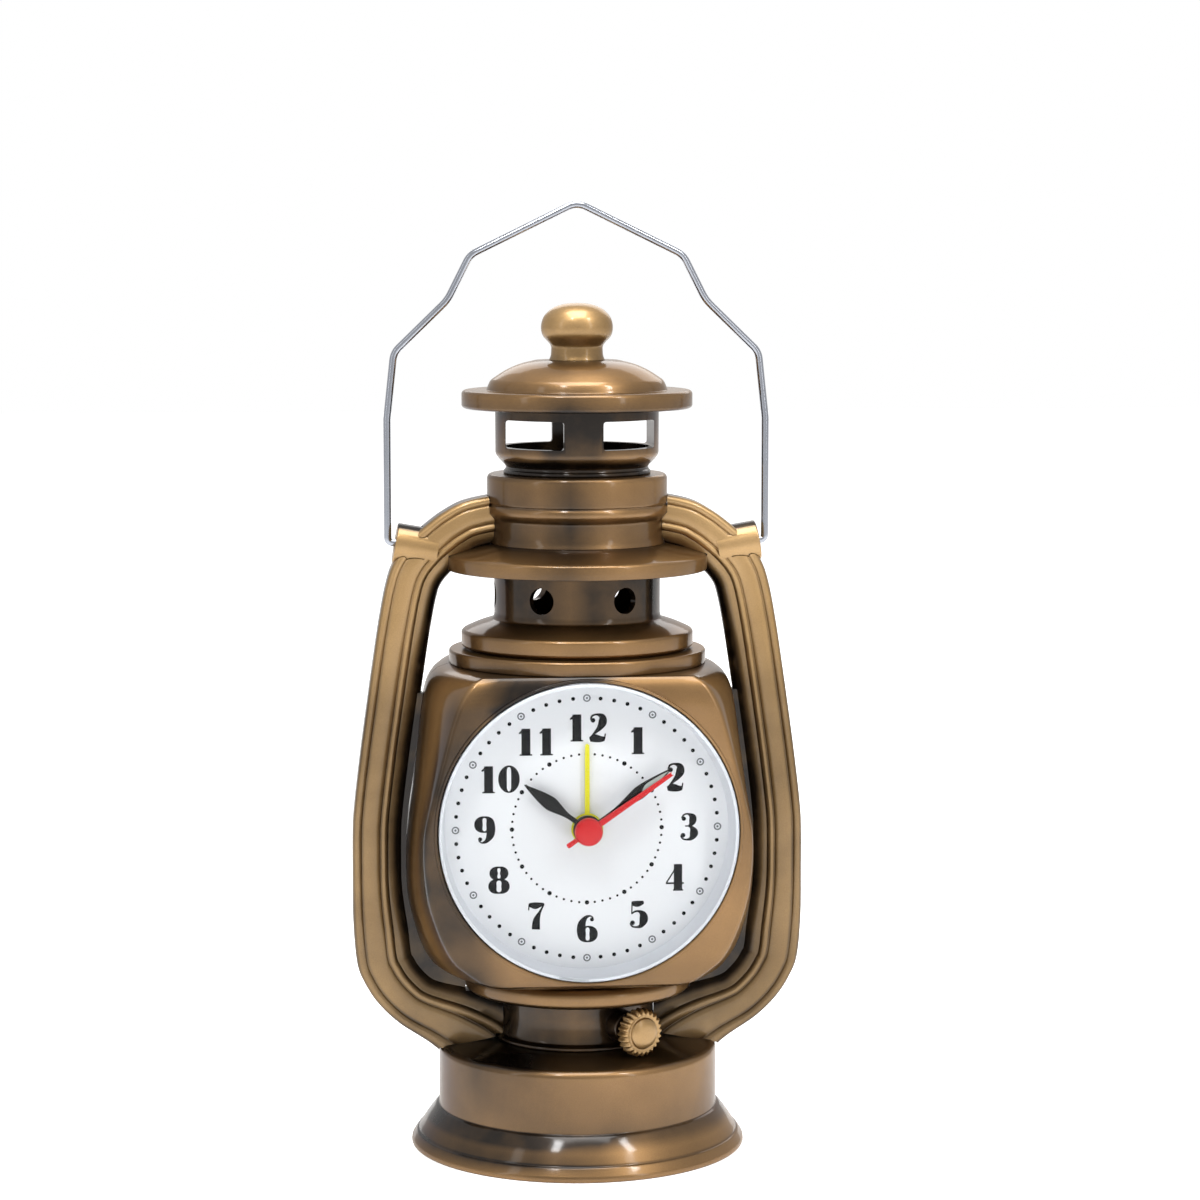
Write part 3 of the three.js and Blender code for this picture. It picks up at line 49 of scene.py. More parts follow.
QUARTER_TURN = math.pi / 2
ROUND_SIDES = 120
FINE_STEPS = 6
LANTERN = "lantern"
Point2 = tuple[float, float]
Point3 = tuple[float, float, float]
Outline = tuple[tuple[float, ...], ...]
Stroke = tuple[Point3, ...]
SmokeAndPaintedShade = Callable[[Vector], float]
Press = Callable[[bpy.types.Object], None]
Socket = bpy.types.NodeSocket


class Slot(Enum):
    """The record's material slot names."""

    BRONZE = "bronze_body"
    GOLD = "gold_trim"
    WIRE = "chrome_wire"
    DIAL = "dial_white"
    RING = "pale_ring"
    LENS = "clear_lens"
    BLACK_HAND = "hand_black"
    RED_HAND = "hand_red"
    YELLOW_HAND = "hand_yellow"
    BLACK_PLASTIC = "black_plastic"
    NYLON = "nylon"


class Axis(Enum):
    """The axis that a turned piece is made about."""

    VERTICAL = "vertical"
    CLOCK = "clock"


# Finishes


class NodeSheet:
    """A node tree with short calls to add and link nodes."""

    def __init__(self, tree: bpy.types.NodeTree) -> None:
        """Takes over a tree and empties it.

        Args:
            tree: The tree to work on.
        """
        self.nodes = tree.nodes
        self.links = tree.links
        self.nodes.clear()

    def add(self, kind: str, **values: object) -> bpy.types.Node:
        """Adds a node and sets its properties or its sockets' values.

        Args:
            kind: The node's Blender type.
            values: Property names, or socket names with spaces as underscores.

        Returns:
            The new node.
        """
        node = self.nodes.new(kind)
        for name, value in values.items():
            socket = name.replace("_", " ")
            if hasattr(node, name):
                setattr(node, name, value)
            else:
                node.inputs[socket].default_value = value
        return node

    def link(self, source: Socket, target: Socket) -> None:
        """Joins an output socket to an input socket."""
        self.links.new(source, target)

    def math(self, operation: str, first: object, second: object = 0.0, clamp: bool = False) -> Socket:
        """Calculates with values, each a socket or a number.

        Args:
            operation: The calculation's Blender name.
            first: The first value.
            second: The second value, where the calculation has one.
            clamp: Whether the result is kept between 0 and 1.

        Returns:
            The result's socket.
        """
        node = self.add("ShaderNodeMath", operation=operation, use_clamp=clamp)
        for index, value in enumerate((first, second)):
            if isinstance(value, Socket):
                self.link(value, node.inputs[index])
            else:
                node.inputs[index].default_value = value
        return node.outputs[0]

    def in_view(self) -> Socket:
        """Returns 1 for what is looked at straight, through the lens or by reflection, and 0 for light."""
        ray = self.add("ShaderNodeLightPath").outputs
        straight = self.math("MAXIMUM", ray["Is Camera Ray"], ray["Is Transmission Ray"])
        return self.math("MAXIMUM", straight, ray["Is Glossy Ray"])

    def mixed(self, factor: Socket, first: bpy.types.Node, second: bpy.types.Node) -> Socket:
        """Mixes two shader nodes by a factor and returns the mix."""
        mix = self.add("ShaderNodeMixShader")
        self.link(factor, mix.inputs[0])
        self.link(first.outputs[0], mix.inputs[1])
        self.link(second.outputs[0], mix.inputs[2])
        return mix.outputs[0]


class ShaderSheet(NodeSheet):
    """A material's node tree."""

    MIX_FIRST, MIX_SECOND, MIX_RESULT = 6, 7, 2

    def __init__(self, name: str) -> None:
        """Starts an empty material.

        Args:
            name: The material's name.
        """
        self.material = bpy.data.materials.new(name)
        self.material.use_nodes = True
        super().__init__(self.material.node_tree)
        self.output = self.add("ShaderNodeOutputMaterial")

    def object_place(self) -> Socket:
        """Returns the Object coordinate, in metres in the part's own frame."""
        return self.add("ShaderNodeTexCoord").outputs["Object"]

    def speckle(self, scale: float, detail: float = 2.0, stretch: Point3 = (1, 1, 1)) -> Socket:
        """Adds noise on Object coordinates.

        Args:
            scale: The noise's scale per metre.
            detail: How many octaves it has.
            stretch: Factors on the coordinates before the noise.

        Returns:
            The noise's factor socket.
        """
        mapping = self.add("ShaderNodeMapping")
        mapping.inputs["Scale"].default_value = stretch
        self.link(self.object_place(), mapping.inputs["Vector"])
        grain = self.add("ShaderNodeTexNoise", Scale=scale, Detail=detail)
        self.link(mapping.outputs["Vector"], grain.inputs["Vector"])
        return grain.outputs["Fac"]

    def ramp(self, factor: Socket, stops: Sequence[tuple[float, Sequence[float]]]) -> Socket:
        """Maps a factor to colours.

        Args:
            factor: The socket to map.
            stops: Places from 0 to 1 with their linear colours.

        Returns:
            The colour socket.
        """
        node = self.add("ShaderNodeValToRGB")
        elements = node.color_ramp.elements
        while len(elements) < len(stops):
            elements.new(0.5)
        for element, (place, colour) in zip(elements, stops):
            element.position = place
            element.color = (*colour[:3], 1)
        self.link(factor, node.inputs["Fac"])
        return node.outputs["Color"]

    def blend(self, factor: object, first: object, second: object, kind: str = "MIX") -> Socket:
        """Mixes two colours.

        Args:
            factor: The second colour's share, a socket or a number.
            first: A socket or a linear colour.
            second: A socket or a linear colour.
            kind: The way of mixing.

        Returns:
            The colour socket.
        """
        node = self.add("ShaderNodeMix", data_type="RGBA", blend_type=kind)
        if isinstance(factor, Socket):
            self.link(factor, node.inputs[0])
        else:
            node.inputs[0].default_value = factor
        for index, colour in ((self.MIX_FIRST, first), (self.MIX_SECOND, second)):
            if isinstance(colour, Socket):
                self.link(colour, node.inputs[index])
            else:
                node.inputs[index].default_value = (*colour, 1)
        return node.outputs[self.MIX_RESULT]

    def bump(self, height: Socket, strength: float, distance: float) -> Socket:
        """Turns a height into a bumped normal.

        Args:
            height: The height socket.
            strength: From 0 to 1.
            distance: The bump's depth in metres.

        Returns:
            The normal socket.
        """
        node = self.add("ShaderNodeBump", Strength=strength, Distance=distance)
        self.link(height, node.inputs["Height"])
        return node.outputs["Normal"]

    def principled(self, **values: object) -> bpy.types.Node:
        """Adds the surface shader, with socket values by name, and links it to the output."""
        node = self.add("ShaderNodeBsdfPrincipled", **values)
        self.link(node.outputs["BSDF"], self.output.inputs["Surface"])
        return node


def srgb(red: float, green: float, blue: float) -> Point3:
    """Turns a colour of 0 to 255 as seen on a screen into linear values."""
    def linear(value: float) -> float:
        share = value / 255
        return share / 12.92 if share <= 0.04045 else ((share + 0.055) / 1.055) ** 2.4
    return linear(red), linear(green), linear(blue)


@dataclass(frozen=True)
class Lacquer:
    """Metallic bronze lacquer: fine flakes, slow colour drift, and a smoky brown tint with painted shade."""

    name: str
    light: Point3
    deep: Point3
    # Dark brown that the smoky tint and the painted shade blend towards.
    smoke: Point3 = srgb(26, 20, 15)
    edge: Point3 = (0.4, 0.36, 0.32)
    roughness: float = 0.34
    metal: float = 0.85
    coat: float = 0.4
    coat_roughness: float = 0.1
    flake_scale: float = 5200.0
    flake_dark: Point3 = (0.55, 0.55, 0.55)
    flake_share: float = 0.35
    flake_roughness: float = 0.08
    flake_strength: float = 0.12
    flake_depth: float = 0.00003
    drift_scale: float = 38.0
    smoke_scale: float = 90.0
    smoke_wander: float = 0.7

    def build(self) -> bpy.types.Material:
        """Returns the material; the smoky tint and the painted shade come from an attribute on the piece."""
        sheet = ShaderSheet(self.name)
        drift = sheet.speckle(self.drift_scale, detail=4.0)
        flakes = sheet.speckle(self.flake_scale, detail=1.0)
        paint = sheet.ramp(drift, ((0.3, self.deep), (0.7, self.light)))
        fleck = sheet.ramp(flakes, ((0.35, self.flake_dark), (0.75, (1, 1, 1))))
        flecked = sheet.blend(self.flake_share, paint, fleck, "MULTIPLY")
        # Blends the paint towards that dark brown by the piece's attribute, made uneven by noise: a smoky
        # tint with painted shade.
        smoke = sheet.add("ShaderNodeAttribute", attribute_name="smoke").outputs["Fac"]
        uneven = sheet.math("SUBTRACT", sheet.speckle(self.smoke_scale, detail=3.0), 0.5)
        wander = sheet.math("MULTIPLY", uneven, self.smoke_wander)
        shaded = sheet.math("MULTIPLY", smoke, sheet.math("ADD", 1.0, wander), clamp=True)
        colour = sheet.blend(shaded, flecked, self.smoke)
        surface = sheet.principled(Metallic=self.metal, Coat_Weight=self.coat,
                                   Coat_Roughness=self.coat_roughness)
        surface.inputs["Specular Tint"].default_value = (*self.edge, 1)
        sheet.link(colour, surface.inputs["Base Color"])
        rough = sheet.math("ADD", self.roughness, sheet.math("MULTIPLY", flakes, self.flake_roughness))
        sheet.link(rough, surface.inputs["Roughness"])
        sheet.link(sheet.bump(flakes, self.flake_strength, self.flake_depth), surface.inputs["Normal"])
        return sheet.material


@dataclass(frozen=True)
class Plain:
    """A moulded or printed surface: a colour with slight drift, and a fine grain."""

    name: str
    colour: Point3
    roughness: float = 0.5
    metal: float = 0.0
    drift: float = 0.12
    drift_scale: float = 60.0
    grain_scale: float = 3500.0
    grain_depth: float = 0.00003
    grain_strength: float = 0.25
    grain_roughness: float = 0.1
    stretch: Point3 = (1, 1, 1)
    shine: float = 0.5

    def build(self) -> bpy.types.Material:
        """Returns the material."""
        sheet = ShaderSheet(self.name)
        slow = sheet.speckle(self.drift_scale, detail=3.0)
        darker = tuple(value * (1 - self.drift) for value in self.colour)
        paint = sheet.ramp(slow, ((0.3, darker), (0.7, self.colour)))
        grain = sheet.speckle(self.grain_scale, stretch=self.stretch)
        surface = sheet.principled(Metallic=self.metal, Specular_IOR_Level=self.shine)
        sheet.link(paint, surface.inputs["Base Color"])
        spread = sheet.math("MULTIPLY", grain, self.grain_roughness)
        rough = sheet.math("ADD", self.roughness - self.grain_roughness / 2, spread)
        sheet.link(rough, surface.inputs["Roughness"])
        sheet.link(sheet.bump(grain, self.grain_strength, self.grain_depth), surface.inputs["Normal"])
        return sheet.material


@dataclass(frozen=True)
class ClearLens:
    """A clear moulded lens: see-through face on, brighter reflection at a slant."""

    name: str
    tint: Point3 = (0.985, 0.99, 0.99)
    index: float = 1.12
    roughness: float = 0.03
    haze_scale: float = 150.0
    haze: float = 0.003

    def build(self) -> bpy.types.Material:
        """Returns the material."""
        sheet = ShaderSheet(self.name)
        clear = sheet.add("ShaderNodeBsdfTransparent", Color=(*self.tint, 1))
        gloss = sheet.add("ShaderNodeBsdfGlossy", Roughness=self.roughness)
        slant = sheet.add("ShaderNodeFresnel", IOR=self.index)
        haze = sheet.math("MULTIPLY", sheet.speckle(self.haze_scale, detail=3.0), self.haze)
        share = sheet.math("ADD", slant.outputs[0], haze, clamp=True)
        sheet.link(sheet.mixed(share, clear, gloss), sheet.output.inputs["Surface"])
        return sheet.material


class FinishShelf:
    """Builds each finish once and hands it out by name."""

    FINISHES = (
        Lacquer("bronze_lacquer", light=srgb(144, 110, 70), deep=srgb(114, 86, 52)),
        Lacquer("gold_lacquer", light=srgb(178, 145, 99), deep=srgb(144, 114, 71), roughness=0.38, metal=0.8),
        Plain("wire_chrome", srgb(146, 149, 156), roughness=0.14, metal=1.0, grain_scale=300.0,
              grain_strength=0.01),
        Plain("dial_card", srgb(236, 237, 240), roughness=0.6, drift=0.015, grain_strength=0.06),
        Plain("print_black", srgb(22, 22, 24), roughness=0.55, drift=0.1, grain_strength=0.05, shine=0.1),
        Plain("print_grey", srgb(120, 122, 126), roughness=0.55, drift=0.05, grain_strength=0.05, shine=0.1),
        Plain("ring_satin", srgb(230, 233, 239), roughness=0.35, drift=0.03, grain_strength=0.08),
        Plain("hand_black_satin", srgb(16, 16, 17), roughness=0.38, grain_strength=0.08, shine=0.15),
        Plain("hand_red_satin", srgb(214, 24, 30), roughness=0.36, drift=0.06, grain_strength=0.08,
              shine=0.3),
        Plain("hand_yellow_satin", srgb(232, 224, 34), roughness=0.4, drift=0.05, grain_strength=0.08,
              shine=0.3),
        Plain("tip_pale", srgb(196, 214, 206), roughness=0.5, drift=0.04, grain_strength=0.05),
        Plain("black_moulding", srgb(30, 30, 32), roughness=0.5, grain_scale=1800.0, grain_strength=0.45),
        Plain("nylon_moulding", srgb(228, 222, 206), roughness=0.45, drift=0.05),
        Plain("plated_steel", srgb(150, 152, 156), roughness=0.3, metal=1.0, stretch=(1, 6, 1)),
        Plain("copper_winding", srgb(188, 98, 52), roughness=0.35, metal=0.9, stretch=(14, 1, 1)),
        Plain("board_resist", srgb(24, 96, 56), roughness=0.4),
        Plain("cell_print", srgb(70, 78, 92), roughness=0.35, metal=0.4),
        Plain("sounder_moulding", srgb(38, 38, 42), roughness=0.4, grain_scale=1200.0),
        Plain("insulation_black", srgb(22, 22, 22), roughness=0.55),
        Plain("insulation_red", srgb(170, 24, 22), roughness=0.5),
        ClearLens("lens_clear"),
    )

    def __init__(self) -> None:
        """Starts with no material built."""
        self.built: dict[str, bpy.types.Material] = {}

    def get(self, name: str) -> bpy.types.Material:
        """Returns the finish's material.

        Args:
            name: The name of one of the shelf's finishes.
        """
        if name not in self.built:
            finish = next(item for item in self.FINISHES if item.name == name)
            self.built[name] = finish.build()
        return self.built[name]


# Shapes, in millimetres


@dataclass
class Shape:
    """A mesh in the making: points in millimetres, and faces."""

    points: list[Point3] = field(default_factory=list)
    faces: list[tuple[int, ...]] = field(default_factory=list)

    def add(self, other: "Shape") -> "Shape":
        """Adds another shape's closed body to this one and returns this one."""
        start = len(self.points)
        self.points.extend(other.points)
        self.faces.extend(tuple(start + index for index in face) for face in other.faces)
        return self

    def moved(self, matrix: Matrix) -> "Shape":
        """Returns a copy of the shape placed by a matrix in millimetres."""
        return Shape([tuple(matrix @ Vector(point)) for point in self.points], list(self.faces))

    def mesh(self, name: str) -> bpy.types.Mesh:
        """Returns the shape as a Blender mesh in metres, normals outward.

        Args:
            name: The mesh's name.
        """
        mesh = bpy.data.meshes.new(name)
        mesh.from_pydata([Vector(point) * MM for point in self.points], [], self.faces)
        outward(mesh)
        return mesh


def outward(mesh: bpy.types.Mesh) -> None:
    """Welds a mesh's seams and turns its normals outward."""
    work = bmesh.new()
    work.from_mesh(mesh)
    bmesh.ops.remove_doubles(work, verts=work.verts, dist=1e-7)
    bmesh.ops.dissolve_degenerate(work, edges=work.edges, dist=1e-7)
    bmesh.ops.recalc_face_normals(work, faces=work.faces)
    work.to_mesh(mesh)
    work.free()


def softened(corners: Sequence[Sequence[float]], steps: int = 4, closed: bool = False) -> list[Point2]:
    """Rounds the corners of an outline.

    Args:
        corners: Points as (across, up) or (across, up, rounding) in millimetres.
        steps: How many pieces each rounding has.
        closed: Whether the outline's end meets its start.

    Returns:
        The outline with each rounded corner as a short run of points.
    """
    result: list[Point2] = []
    count = len(corners)
    for index, corner in enumerate(corners):
        here = Vector(corner[:2])
        rounding = corner[2] if len(corner) > 2 else 0
        ends = not closed and index in (0, count - 1)
        if rounding == 0 or ends:
            result.append(tuple(here))
            continue
        before = Vector(corners[index - 1][:2]) - here
        after = Vector(corners[(index + 1) % count][:2]) - here
        reach = min(rounding, before.length * 0.49, after.length * 0.49)
        start = here + before.normalized() * reach
        stop = here + after.normalized() * reach
        for step in range(steps + 1):
            share = step / steps
            result.append(tuple(start.lerp(here, share).lerp(here.lerp(stop, share), share)))
    return result


def turned(profile: Sequence[Point2], sides: int = ROUND_SIDES, axis: Axis = Axis.VERTICAL,
           height: float = 0.0) -> Shape:
    """Turns a profile into a closed body.

    Args:
        profile: Points as (radius, place along the axis); it ends on the axis or closes on itself.
        sides: How many sides the circle has.
        axis: Whether the place counts up, or towards +Y on the clock's axis.
        height: The height of the clock's axis.

    Returns:
        The body.
    """
    shape = Shape()
    rings: list[list[int]] = []
    for radius, place in profile:
        count = 1 if radius < 1e-6 else sides
        ring = []
        for step in range(count):
            angle = FULL_TURN * step / sides
            across, beside = radius * math.cos(angle), radius * math.sin(angle)
            ring.append(len(shape.points))
            if axis is Axis.VERTICAL:
                shape.points.append((across, beside, place + height))
            else:
                shape.points.append((across, place, height + beside))
        rings.append(ring)
    on_axis = len(rings[0]) == 1 and len(rings[-1]) == 1
    pairs = list(zip(rings, rings[1:])) + ([] if on_axis else [(rings[-1], rings[0])])
    for first, second in pairs:
        for step in range(sides):
            after = (step + 1) % sides
            corners = [first[step % len(first)], first[after % len(first)], second[after % len(second)],
                       second[step % len(second)]]
            face = tuple(dict.fromkeys(corners))
            if len(face) > 2:
                shape.faces.append(face)
    return shape


def lofted(rings: Sequence[Sequence[Point3]]) -> Shape:
    """Skins rings of equal point counts and closes both ends."""
    shape = Shape([tuple(point) for ring in rings for point in ring])
    count = len(rings[0])
    for level in range(len(rings) - 1):
        for step in range(count):
            first = level * count + step
            second = level * count + (step + 1) % count
            shape.faces.append((first, second, second + count, first + count))
    shape.faces.append(tuple(range(count)))
    shape.faces.append(tuple(range((len(rings) - 1) * count, len(rings) * count)))
    return shape


def swept(path: Sequence[Point2], section: Sequence[Point2], growth: Callable[[float], float] | None = None,
          reach: int = 1) -> Shape:
    """Carries a section along a path in the XZ plane.

    Args:
        path: Points as (x, z).
        section: Points as (depth along Y, distance to the left of the way).
        growth: How much larger the distance to the left is at a height.
        reach: How many points before and after a point give the way there.

    Returns:
        The closed body.
    """
    rings = []
    for index, point in enumerate(path):
        before = Vector(path[max(index - reach, 0)])
        after = Vector(path[min(index + reach, len(path) - 1)])
        way = (after - before).normalized()
        left = Vector((-way.y, way.x)) * (growth(point[1]) if growth else 1.0)
        rings.append([(point[0] + left.x * side, depth, point[1] + left.y * side) for depth, side in section])
    return lofted(rings)


def prism(outline: Sequence[Point2], front: float, back: float) -> Shape:
    """Extrudes an outline in the XZ plane from one Y to another."""
    return lofted([[(x, front, z) for x, z in outline], [(x, back, z) for x, z in outline]])


def box(low: Point3, high: Point3) -> Shape:
    """Returns a box between two corners."""
    outline = [(low[0], low[2]), (high[0], low[2]), (high[0], high[2]), (low[0], high[2])]
    return prism(outline, low[1], high[1])


def rod(radius: float, start: float, stop: float, axis: Axis, height: float = 0.0,
        sides: int = ROUND_SIDES) -> Shape:
    """Returns a plain cylinder along an axis."""
    return turned([(0, start), (radius, start), (radius, stop), (0, stop)], sides, axis, height)


def round_outline(radius: float, sides: int, centre: Point2 = (0, 0)) -> list[Point2]:
    """Returns a circle as an outline."""
    return [(centre[0] + radius * math.cos(FULL_TURN * step / sides),
             centre[1] + radius * math.sin(FULL_TURN * step / sides)) for step in range(sides)]


def cubic(first: float | Vector, leaving: float | Vector, second: float | Vector, arriving: float | Vector,
          share: float) -> float | Vector:
    """Returns a value on the smooth curve between two values.

    Args:
        first: Where the curve starts.
        leaving: Its slope there.
        second: Where the curve ends.
        arriving: Its slope there.
        share: How far along the curve the wanted value is, from 0 to 1.
    """
    square, cube = share ** 2, share ** 3
    return ((2 * cube - 3 * square + 1) * first + (cube - 2 * square + share) * leaving
            + (3 * square - 2 * cube) * second + (cube - square) * arriving)


def smooth_table(rows: Sequence[Sequence[float]], at: float) -> list[float]:
    """Reads a table of (place, values...) between its rows along a smooth curve.

    Args:
        rows: The rows, by rising place.
        at: The place to read.

    Returns:
        The values at that place.
    """
    last = len(rows) - 1
    index = max(0, min(last - 1, sum(1 for row in rows if row[0] <= at) - 1))
    first, second = rows[index], rows[index + 1]
    before, after = rows[max(index - 1, 0)], rows[min(index + 2, last)]
    span = second[0] - first[0]
    share = min(max((at - first[0]) / span, 0), 1)
    values = []
    for column in range(1, len(first)):
        leaving = (second[column] - before[column]) / (second[0] - before[0]) * span
        arriving = (after[column] - first[column]) / (after[0] - first[0]) * span
        values.append(cubic(first[column], leaving, second[column], arriving, share))
    return values


def smooth_path(points: Sequence[Sequence[float]], steps: int) -> list[tuple[float, ...]]:
    """Runs a smooth curve through points.

    Args:
        points: The points, of any number of values each.
        steps: How many steps lie between each two of them.

    Returns:
        The curve's points.
    """
    result = []
    for index in range(len(points) - 1):
        quad = [Vector(points[min(max(index + shift, 0), len(points) - 1)]) for shift in (-1, 0, 1, 2)]
        leaving, arriving = (quad[2] - quad[0]) * 0.5, (quad[3] - quad[1]) * 0.5
        for step in range(steps):
            result.append(tuple(cubic(quad[1], leaving, quad[2], arriving, step / steps)))
    result.append(tuple(points[-1]))
    return result


def carved(base: Shape, tools: Iterable[tuple[str, Shape]], name: str) -> bpy.types.Mesh:
    """Cuts, joins or intersects shapes.

    Args:
        base: The shape to work on.
        tools: Pairs of DIFFERENCE, UNION or INTERSECT and the shape used for it.
        name: The resulting mesh's name.

    Returns:
        The closed mesh.
    """
    target = bpy.data.objects.new(name + "_work", base.mesh(name))
    bpy.context.scene.collection.objects.link(target)
    helpers = []
    for index, (operation, tool) in enumerate(tools):
        helper = bpy.data.objects.new(f"{name}_tool_{index}", tool.mesh(f"{name}_tool_{index}"))
        bpy.context.scene.collection.objects.link(helper)
        modifier = target.modifiers.new(f"step_{index}", "BOOLEAN")
        modifier.operation = operation
        modifier.solver = "EXACT"
        modifier.object = helper
        helpers.append(helper)
    graph = bpy.context.evaluated_depsgraph_get()
    mesh = bpy.data.meshes.new_from_object(target.evaluated_get(graph))
    mesh.name = name
    for item in [*helpers, target]:
        data = item.data
        bpy.data.objects.remove(item)
        bpy.data.meshes.remove(data)
    mesh.materials.clear()
    outward(mesh)
    return mesh


def cuts(*shapes: Shape) -> list[tuple[str, Shape]]:
    """Returns the operations that cut shapes away, for carved."""
    return [("DIFFERENCE", shape) for shape in shapes]


def shape_of(mesh: bpy.types.Mesh) -> Shape:
    """Reads a mesh back into a shape in millimetres."""
    return Shape([tuple(vertex.co / MM) for vertex in mesh.vertices],
                 [tuple(face.vertices) for face in mesh.polygons])


def mirrored(half: Sequence[Point2]) -> list[Point2]:
    """Closes half an outline with its mirror image, across its points on the middle line."""
    return [*half, *[(-x, z) for x, z in reversed(half) if x > 1e-6]]


def scaled(matrix: Matrix) -> Matrix:
    """Turns a placement in millimetres into one in metres."""
    result = matrix.copy()
    result.translation = matrix.translation * MM
    return result


# Repeats with Geometry Nodes


def flatten(piece: bpy.types.Object) -> None:
    """Keeps what a piece's modifiers make as a plain mesh and removes the modifiers."""
    graph = bpy.context.evaluated_depsgraph_get()
    mesh = bpy.data.meshes.new_from_object(piece.evaluated_get(graph))
    piece.modifiers.clear()
    piece.data = mesh


@dataclass(frozen=True)
class KnobSizes:
    """A fluted knob turned about its own axis, in millimetres."""

    profile: Outline
    flutes: int
    flute_depth: float
    rim_radius: float
    flute_sides: int = 12

    @property
    def sides(self) -> int:
        """How many sides the turned knob has, a whole number of them for each flute."""
        return self.flutes * self.flute_sides


class GeometrySheet(NodeSheet):
    """A Geometry Nodes tree with named inputs, whose result becomes a plain mesh of one finish."""

    INPUTS: tuple[tuple[str, str], ...] = ()

    def __init__(self) -> None:
        """Builds the tree: its inputs, what it does, real geometry and its finish."""
        self.tree = bpy.data.node_groups.new(type(self).__name__, "GeometryNodeTree")
        super().__init__(self.tree)
        face = self.tree.interface
        face.new_socket("Geometry", in_out="INPUT", socket_type="NodeSocketGeometry")
        self.sockets = {
            label: face.new_socket(label, in_out="INPUT", socket_type="NodeSocket" + kind).identifier
            for label, kind in (*self.INPUTS, ("Finish", "Material"))}
        face.new_socket("Geometry", in_out="OUTPUT", socket_type="NodeSocketGeometry")
        self.given = self.add("NodeGroupInput").outputs
        real = self.add("GeometryNodeRealizeInstances")
        self.link(self.shaped(), real.inputs[0])
        paint = self.add("GeometryNodeSetMaterial")
        self.link(real.outputs[0], paint.inputs["Geometry"])
        self.link(self.given["Finish"], paint.inputs["Material"])
        self.link(paint.outputs[0], self.add("NodeGroupOutput").inputs[0])

    def shaped(self) -> Socket:
        """Adds the nodes that shape the geometry and returns what they make."""
        return self.given["Geometry"]

    def vector(self, operation: str, *sources: Socket) -> Socket:
        """Calculates with vectors and returns the resulting vector or number."""
        node = self.add("ShaderNodeVectorMath", operation=operation)
        for index, source in enumerate(sources):
            self.link(source, node.inputs[index])
        return node.outputs["Value" if operation in ("DOT_PRODUCT", "LENGTH") else "Vector"]

    def scaled(self, vector: Socket, factor: Socket) -> Socket:
        """Scales a vector by a number."""
        node = self.add("ShaderNodeVectorMath", operation="SCALE")
        self.link(vector, node.inputs[0])
        self.link(factor, node.inputs["Scale"])
        return node.outputs[0]

    def press(self, piece: bpy.types.Object, finish: bpy.types.Material, **values: object) -> None:
        """Runs the tree on a piece and keeps the result as a plain mesh.

        Args:
            piece: The piece to work on.
            finish: The result's material.
            values: The inputs by name.
        """
        modifier = piece.modifiers.new("nodes", "NODES")
        modifier.node_group = self.tree
        for label, value in (*values.items(), ("Finish", finish)):
            modifier[self.sockets[label]] = value
        flatten(piece)


class Flutes(GeometrySheet):
    """Presses flutes into a knob's rim, in towards its axis."""

    INPUTS = (("Flutes", "Float"), ("Depth", "Float"), ("Rim", "Float"), ("Centre", "Vector"),
              ("Way", "Vector"))
    FADE_IN = (0.72, 0.9)

    def shaped(self) -> Socket:
        """Pulls each point in by a wave round the axis, in full near the rim and not at all at the middle."""
        given = self.given
        offset = self.vector("SUBTRACT", self.add("GeometryNodeInputPosition").outputs[0], given["Centre"])
        radial = self.vector("SUBTRACT", offset, self.vector("PROJECT", offset, given["Way"]))
        side = self.add("ShaderNodeVectorMath", operation="CROSS_PRODUCT")
        side.inputs[0].default_value = (0, 0, 1)
        self.link(given["Way"], side.inputs[1])
        parts = self.add("ShaderNodeSeparateXYZ")
        self.link(radial, parts.inputs[0])
        angle = self.math("ARCTAN2", parts.outputs["Z"], self.vector("DOT_PRODUCT", radial, side.outputs[0]))
        wave = self.math("COSINE", self.math("MULTIPLY", angle, given["Flutes"]))
        dip = self.math("MULTIPLY", self.math("SUBTRACT", wave, 1.0), 0.5)
        mask = self.add("ShaderNodeMapRange")
        mask.inputs["From Min"].default_value, mask.inputs["From Max"].default_value = self.FADE_IN
        self.link(self.math("DIVIDE", self.vector("LENGTH", radial), given["Rim"]), mask.inputs["Value"])
        push = self.math("MULTIPLY", self.math("MULTIPLY", dip, given["Depth"]), mask.outputs["Result"])
        setter = self.add("GeometryNodeSetPosition")
        self.link(given["Geometry"], setter.inputs["Geometry"])
        self.link(self.scaled(self.vector("NORMALIZE", radial), push), setter.inputs["Offset"])
        return setter.outputs[0]

    def cut(self, piece: bpy.types.Object, sizes: KnobSizes, centre: Point3, way: Point3,
            finish: bpy.types.Material) -> None:
        """Presses a knob's flutes.

        Args:
            piece: The turned knob.
            sizes: How many flutes there are and how deep.
            centre: A point on the knob's axis in millimetres.
            way: The axis's direction.
            finish: The knob's material.
        """
        self.press(piece, finish, Flutes=float(sizes.flutes), Depth=sizes.flute_depth * MM,
                   Rim=sizes.rim_radius * MM, Centre=[value * MM for value in centre], Way=list(way))


@dataclass(frozen=True)
class MarkRing:
    """A ring of equal marks: which of its places are used, and each mark's outline."""

    name: str
    radius: float
    mark: float
    hollow: float
    hours: bool
    finish: str


